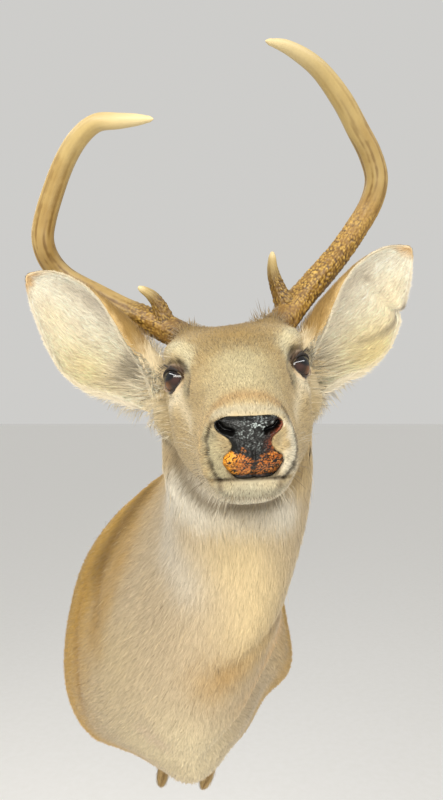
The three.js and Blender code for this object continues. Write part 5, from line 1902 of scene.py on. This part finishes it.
@dataclass(frozen=True)
class Finish:
    """A finish whose colour comes from a piece's own markings."""

    name: str  # the material's name
    roughness: tuple = (0.75, 0.95)  # how matt it is, at the smoothest and roughest places
    effect: Effect = Effect.HAIR_GRAIN  # the shared effect that breaks it up
    size: float = 1.0  # size of that effect
    amount: float = 0.2  # how far the effect changes its tone
    bump: float = 0.0003  # height of the effect's relief, metres
    specular: float = 0.25  # strength of its reflection
    sheen: float = 0.0  # strength of the soft light at its edges
    coat: float = 0.0  # strength of a clear layer over it
    coat_roughness: float = 0.2  # how matt that layer is
    dust: float = 0.0  # how much dust has settled on it
    spread: float = 0.0  # colours that light inside it takes, as a distance in metres

    def colour(self, bench: Bench) -> Socket:
        """The piece's own markings."""
        return bench.add("Attribute", attribute_name="markings").outputs["Color"]

    def vector(self, bench: Bench) -> Socket:
        """Where the effect is read: the object's own coordinates."""
        return bench.add("TexCoord").outputs["Object"]

    def material(self) -> Material:
        """Builds the finish."""
        made = bpy.data.materials.new(self.name)
        made.use_nodes = True
        made.node_tree.nodes.clear()
        bench = Bench(made.node_tree)
        vector = self.vector(bench)
        grain = bench.effect(self.effect, {"Size": self.size, "Amount": self.amount, "Vector": vector})
        tint = {"Color": self.colour(bench), "Value": grain.outputs["Tone"]}
        colour = bench.add("HueSaturation", tint).outputs[0]
        if self.dust:
            dust = bench.effect(Effect.DUST, {"Amount": self.dust, "Vector": vector})
            colour = bench.blend(dust.outputs["Tone"], colour, (*linear("cdbf9f"), 1))
        matt = bench.spread(grain.outputs["Height"], 0.3, 0.7, *self.roughness)
        height = grain.outputs["Height"]
        relief = bench.add("Bump", {"Height": height, "Distance": self.bump, "Strength": 1.0})
        shader = bench.add("BsdfPrincipled", {
            "Base Color": colour, "Roughness": matt, "Normal": relief.outputs[0],
            "Specular IOR Level": self.specular, "Sheen Weight": self.sheen, "Sheen Roughness": 0.45,
            "Coat Weight": self.coat, "Coat Roughness": self.coat_roughness})
        if self.spread:
            shader.inputs["Subsurface Weight"].default_value = 0.25
            shader.inputs["Subsurface Scale"].default_value = self.spread
        bench.add("OutputMaterial", {"Surface": shader.outputs[0]})
        return made


@dataclass(frozen=True)
class LaidFinish(Finish):
    """A finish whose effect follows the lie of the hair, along the piece's own map."""

    stretch: tuple = (0.9, 0.45, 1.0)

    def vector(self, bench: Bench) -> Socket:
        """The piece's own map, stretched to metres along and round the body."""
        return bench.stretched(bench.add("UVMap", uv_map="OFBake").outputs[0], self.stretch)


@dataclass(frozen=True)
class PlainFinish(Finish):
    """A finish with two colours of its own, mixed by its effect."""

    dark: str = "8a6238"  # its two colours
    light: str = "c49a64"
    metallic: float = 0.0  # 1 for a metal

    def colour(self, bench: Bench) -> Socket:
        """The two colours, mixed by long streaks."""
        streaks = bench.effect(self.effect, {"Amount": 1.0, "Size": self.size, "Vector": self.vector(bench)})
        share = bench.spread(streaks.outputs["Height"], 0.35, 0.65, 0.0, 1.0)
        return bench.blend(share, (*linear(self.dark), 1), (*linear(self.light), 1))

    def material(self) -> Material:
        """Builds the finish, as a metal where it is one."""
        made = super().material()
        shader = next(n for n in made.node_tree.nodes if n.type == "BSDF_PRINCIPLED")
        shader.inputs["Metallic"].default_value = self.metallic
        return made


HAIR = Finish("deer_hair", (0.7, 0.9), amount=0.12, bump=0.00005, specular=0.22, sheen=0.12)
SKIN = LaidFinish("deer_skin", (0.8, 0.95), amount=0.45, bump=0.0005, specular=0.15, sheen=0.1)
EAR_SKIN = LaidFinish("ear_skin", (0.7, 0.9), specular=0.2, stretch=(0.2, 0.2, 1))
BONE = Finish("antler_bone", (0.38, 0.62), Effect.FIBRE, amount=0.25, bump=0.00012, specular=0.45, dust=0.10)
LEATHER = Finish("nose_leather", (0.2, 0.42), size=0.5, amount=0.15, bump=0.0002, specular=0.22, coat=0.12,
                 coat_roughness=0.12)
GLASS = Finish("eye_glass", (0.02, 0.04), amount=0.05, bump=0.0, specular=0.5)
LID = Finish("eyelid_skin", (0.32, 0.5), bump=0.0001, specular=0.45)
RAW_HIDE = Finish("raw_hide", (0.6, 0.85), Effect.FIBRE, amount=0.4, bump=0.0004, specular=0.3)
WOOD = PlainFinish("board_wood", (0.55, 0.8), Effect.FIBRE, amount=0.25, bump=0.0004, specular=0.3, dust=0.12)
STEEL = PlainFinish("hanger_steel", (0.25, 0.45), Effect.FIBRE, size=3.0, amount=0.15, bump=0.00003,
                    specular=0.5, dark="8d8f90", light="b9bbbc", metallic=1.0)
FLOOR = PlainFinish("pale_floor", (0.8, 0.9), Effect.FIBRE, amount=0.02, bump=0.0, dark="f4f3f0",
                    light="f7f6f4")


# ---- studio
@dataclass(frozen=True)
class Studio:
    """Camera, soft lights and pale floor. None of it belongs to the mount."""

    camera: tuple = (0.0665, -1.042, 0.372)  # the camera's place, metres; it looks along +Y
    lens: float = 29.25  # focal length and sensor width, millimetres
    sensor: float = 36.0
    clip: tuple = (0.02, 200)  # nearest and farthest that the camera sees, metres
    floor: float = -1.15  # height of the floor, metres
    reach: float = 40.0  # how far it goes each way
    sky: float = 0.68  # brightness of the surroundings
    # (name, place, aimed at, size, shape height, power, colour), metres and watts
    lamps: tuple = (
        ("key_light", (-0.35, -2.1, 1.3), (0.03, -0.3, 0.05), 1.9, 0.42, 33, "fffaf0"),
        ("left_strip", (-1.06, -0.96, 1.4), (-0.02, -0.43, 0.38), 1.8, 0.07, 13.5, "ffffff"),
        ("right_strip", (1.05, -1.2, 1.4), (0.14, -0.43, 0.40), 1.9, 0.07, 13.5, "ffffff"),
        ("low_fill", (0.15, -2.2, -0.6), (0.05, -0.2, -0.05), 1.6, 0.9, 20, "fffaf2"),
        ("back_light", (-1.1, 0.9, 1.3), (0.0, -0.1, 0.1), 1.2, 1.2, 8, "fff8ee"))

    def build(self) -> None:
        """Makes the studio."""
        scene = bpy.context.scene
        scene.view_settings.view_transform = "Standard"
        eye = bpy.data.cameras.new("camera")
        eye.lens, eye.sensor_width = self.lens, self.sensor
        eye.clip_start, eye.clip_end = self.clip
        camera = bpy.data.objects.new("camera", eye)
        camera.location, camera.rotation_euler = self.camera, (math.pi / 2, 0, 0)
        scene.collection.objects.link(camera)
        scene.camera = camera
        for name, place, aim, width, height, power, colour in self.lamps:
            light = bpy.data.lights.new(name, "AREA")
            light.shape, light.size, light.size_y, light.energy = "RECTANGLE", width, height, power
            light.color = linear(colour)
            lamp = bpy.data.objects.new(name, light)
            lamp.location = place
            ahead = unit(np.array(aim) - np.array(place))
            across = unit(np.cross(ahead, np.array([0.0, 0, 1])))
            axes = np.stack([across, np.cross(across, ahead), -ahead], 1)
            lamp.rotation_euler = Matrix(axes.tolist()).to_euler()
            scene.collection.objects.link(lamp)
        world = bpy.data.worlds.new("surroundings")
        world.use_nodes = True
        sky = next(n for n in world.node_tree.nodes if n.type == "BACKGROUND")
        sky.inputs["Color"].default_value = (*linear("f4f3f0"), 1)
        sky.inputs["Strength"].default_value = self.sky
        scene.world = world
        mesh = bpy.data.meshes.new("floor")
        signs = ((-1, -1), (1, -1), (1, 1), (-1, 1))
        mesh.from_pydata([(self.reach * x, self.reach * y, self.floor) for x, y in signs], [], [(0, 1, 2, 3)])
        mesh.materials.append(FLOOR.material())
        floor = bpy.data.objects.new("floor", mesh)
        scene.collection.objects.link(floor)


# ---- making it
def main() -> None:
    """Builds every piece of the mount in order, and reports each."""
    logging.basicConfig(level=logging.INFO, format="%(name)s: %(message)s")
    Studio().build()
    hair, hide, lid = HAIR.material(), RAW_HIDE.material(), LID.material()
    skin = BodySkin()
    flesh = ("muzzle", "lower_jaw", "head", "neck_upper", "neck_lower", "shoulders")
    skin.solid().piece("skin", "coat", SKIN.material(), flesh)
    BodyCoat().build(skin, hair)
    ear_skin, bone, glass = EAR_SKIN.material(), BONE.material(), GLASS.material()
    for side, antler in ((Side.LEFT, LEFT_ANTLER), (Side.RIGHT, RIGHT_ANTLER)):
        Ear(side).build(ear_skin, hair)
        Eyeball(side).build(glass, lid)
        antler.build(bone)
    NosePad().build(LEATHER.material())
    LongHairs().build(skin, hair)
    for tab in HIDE_TABS:
        tab.build(hide, hair)
    BOARD.dress(WOOD.material(), STEEL.material())


if __name__ == "__main__":
    main()
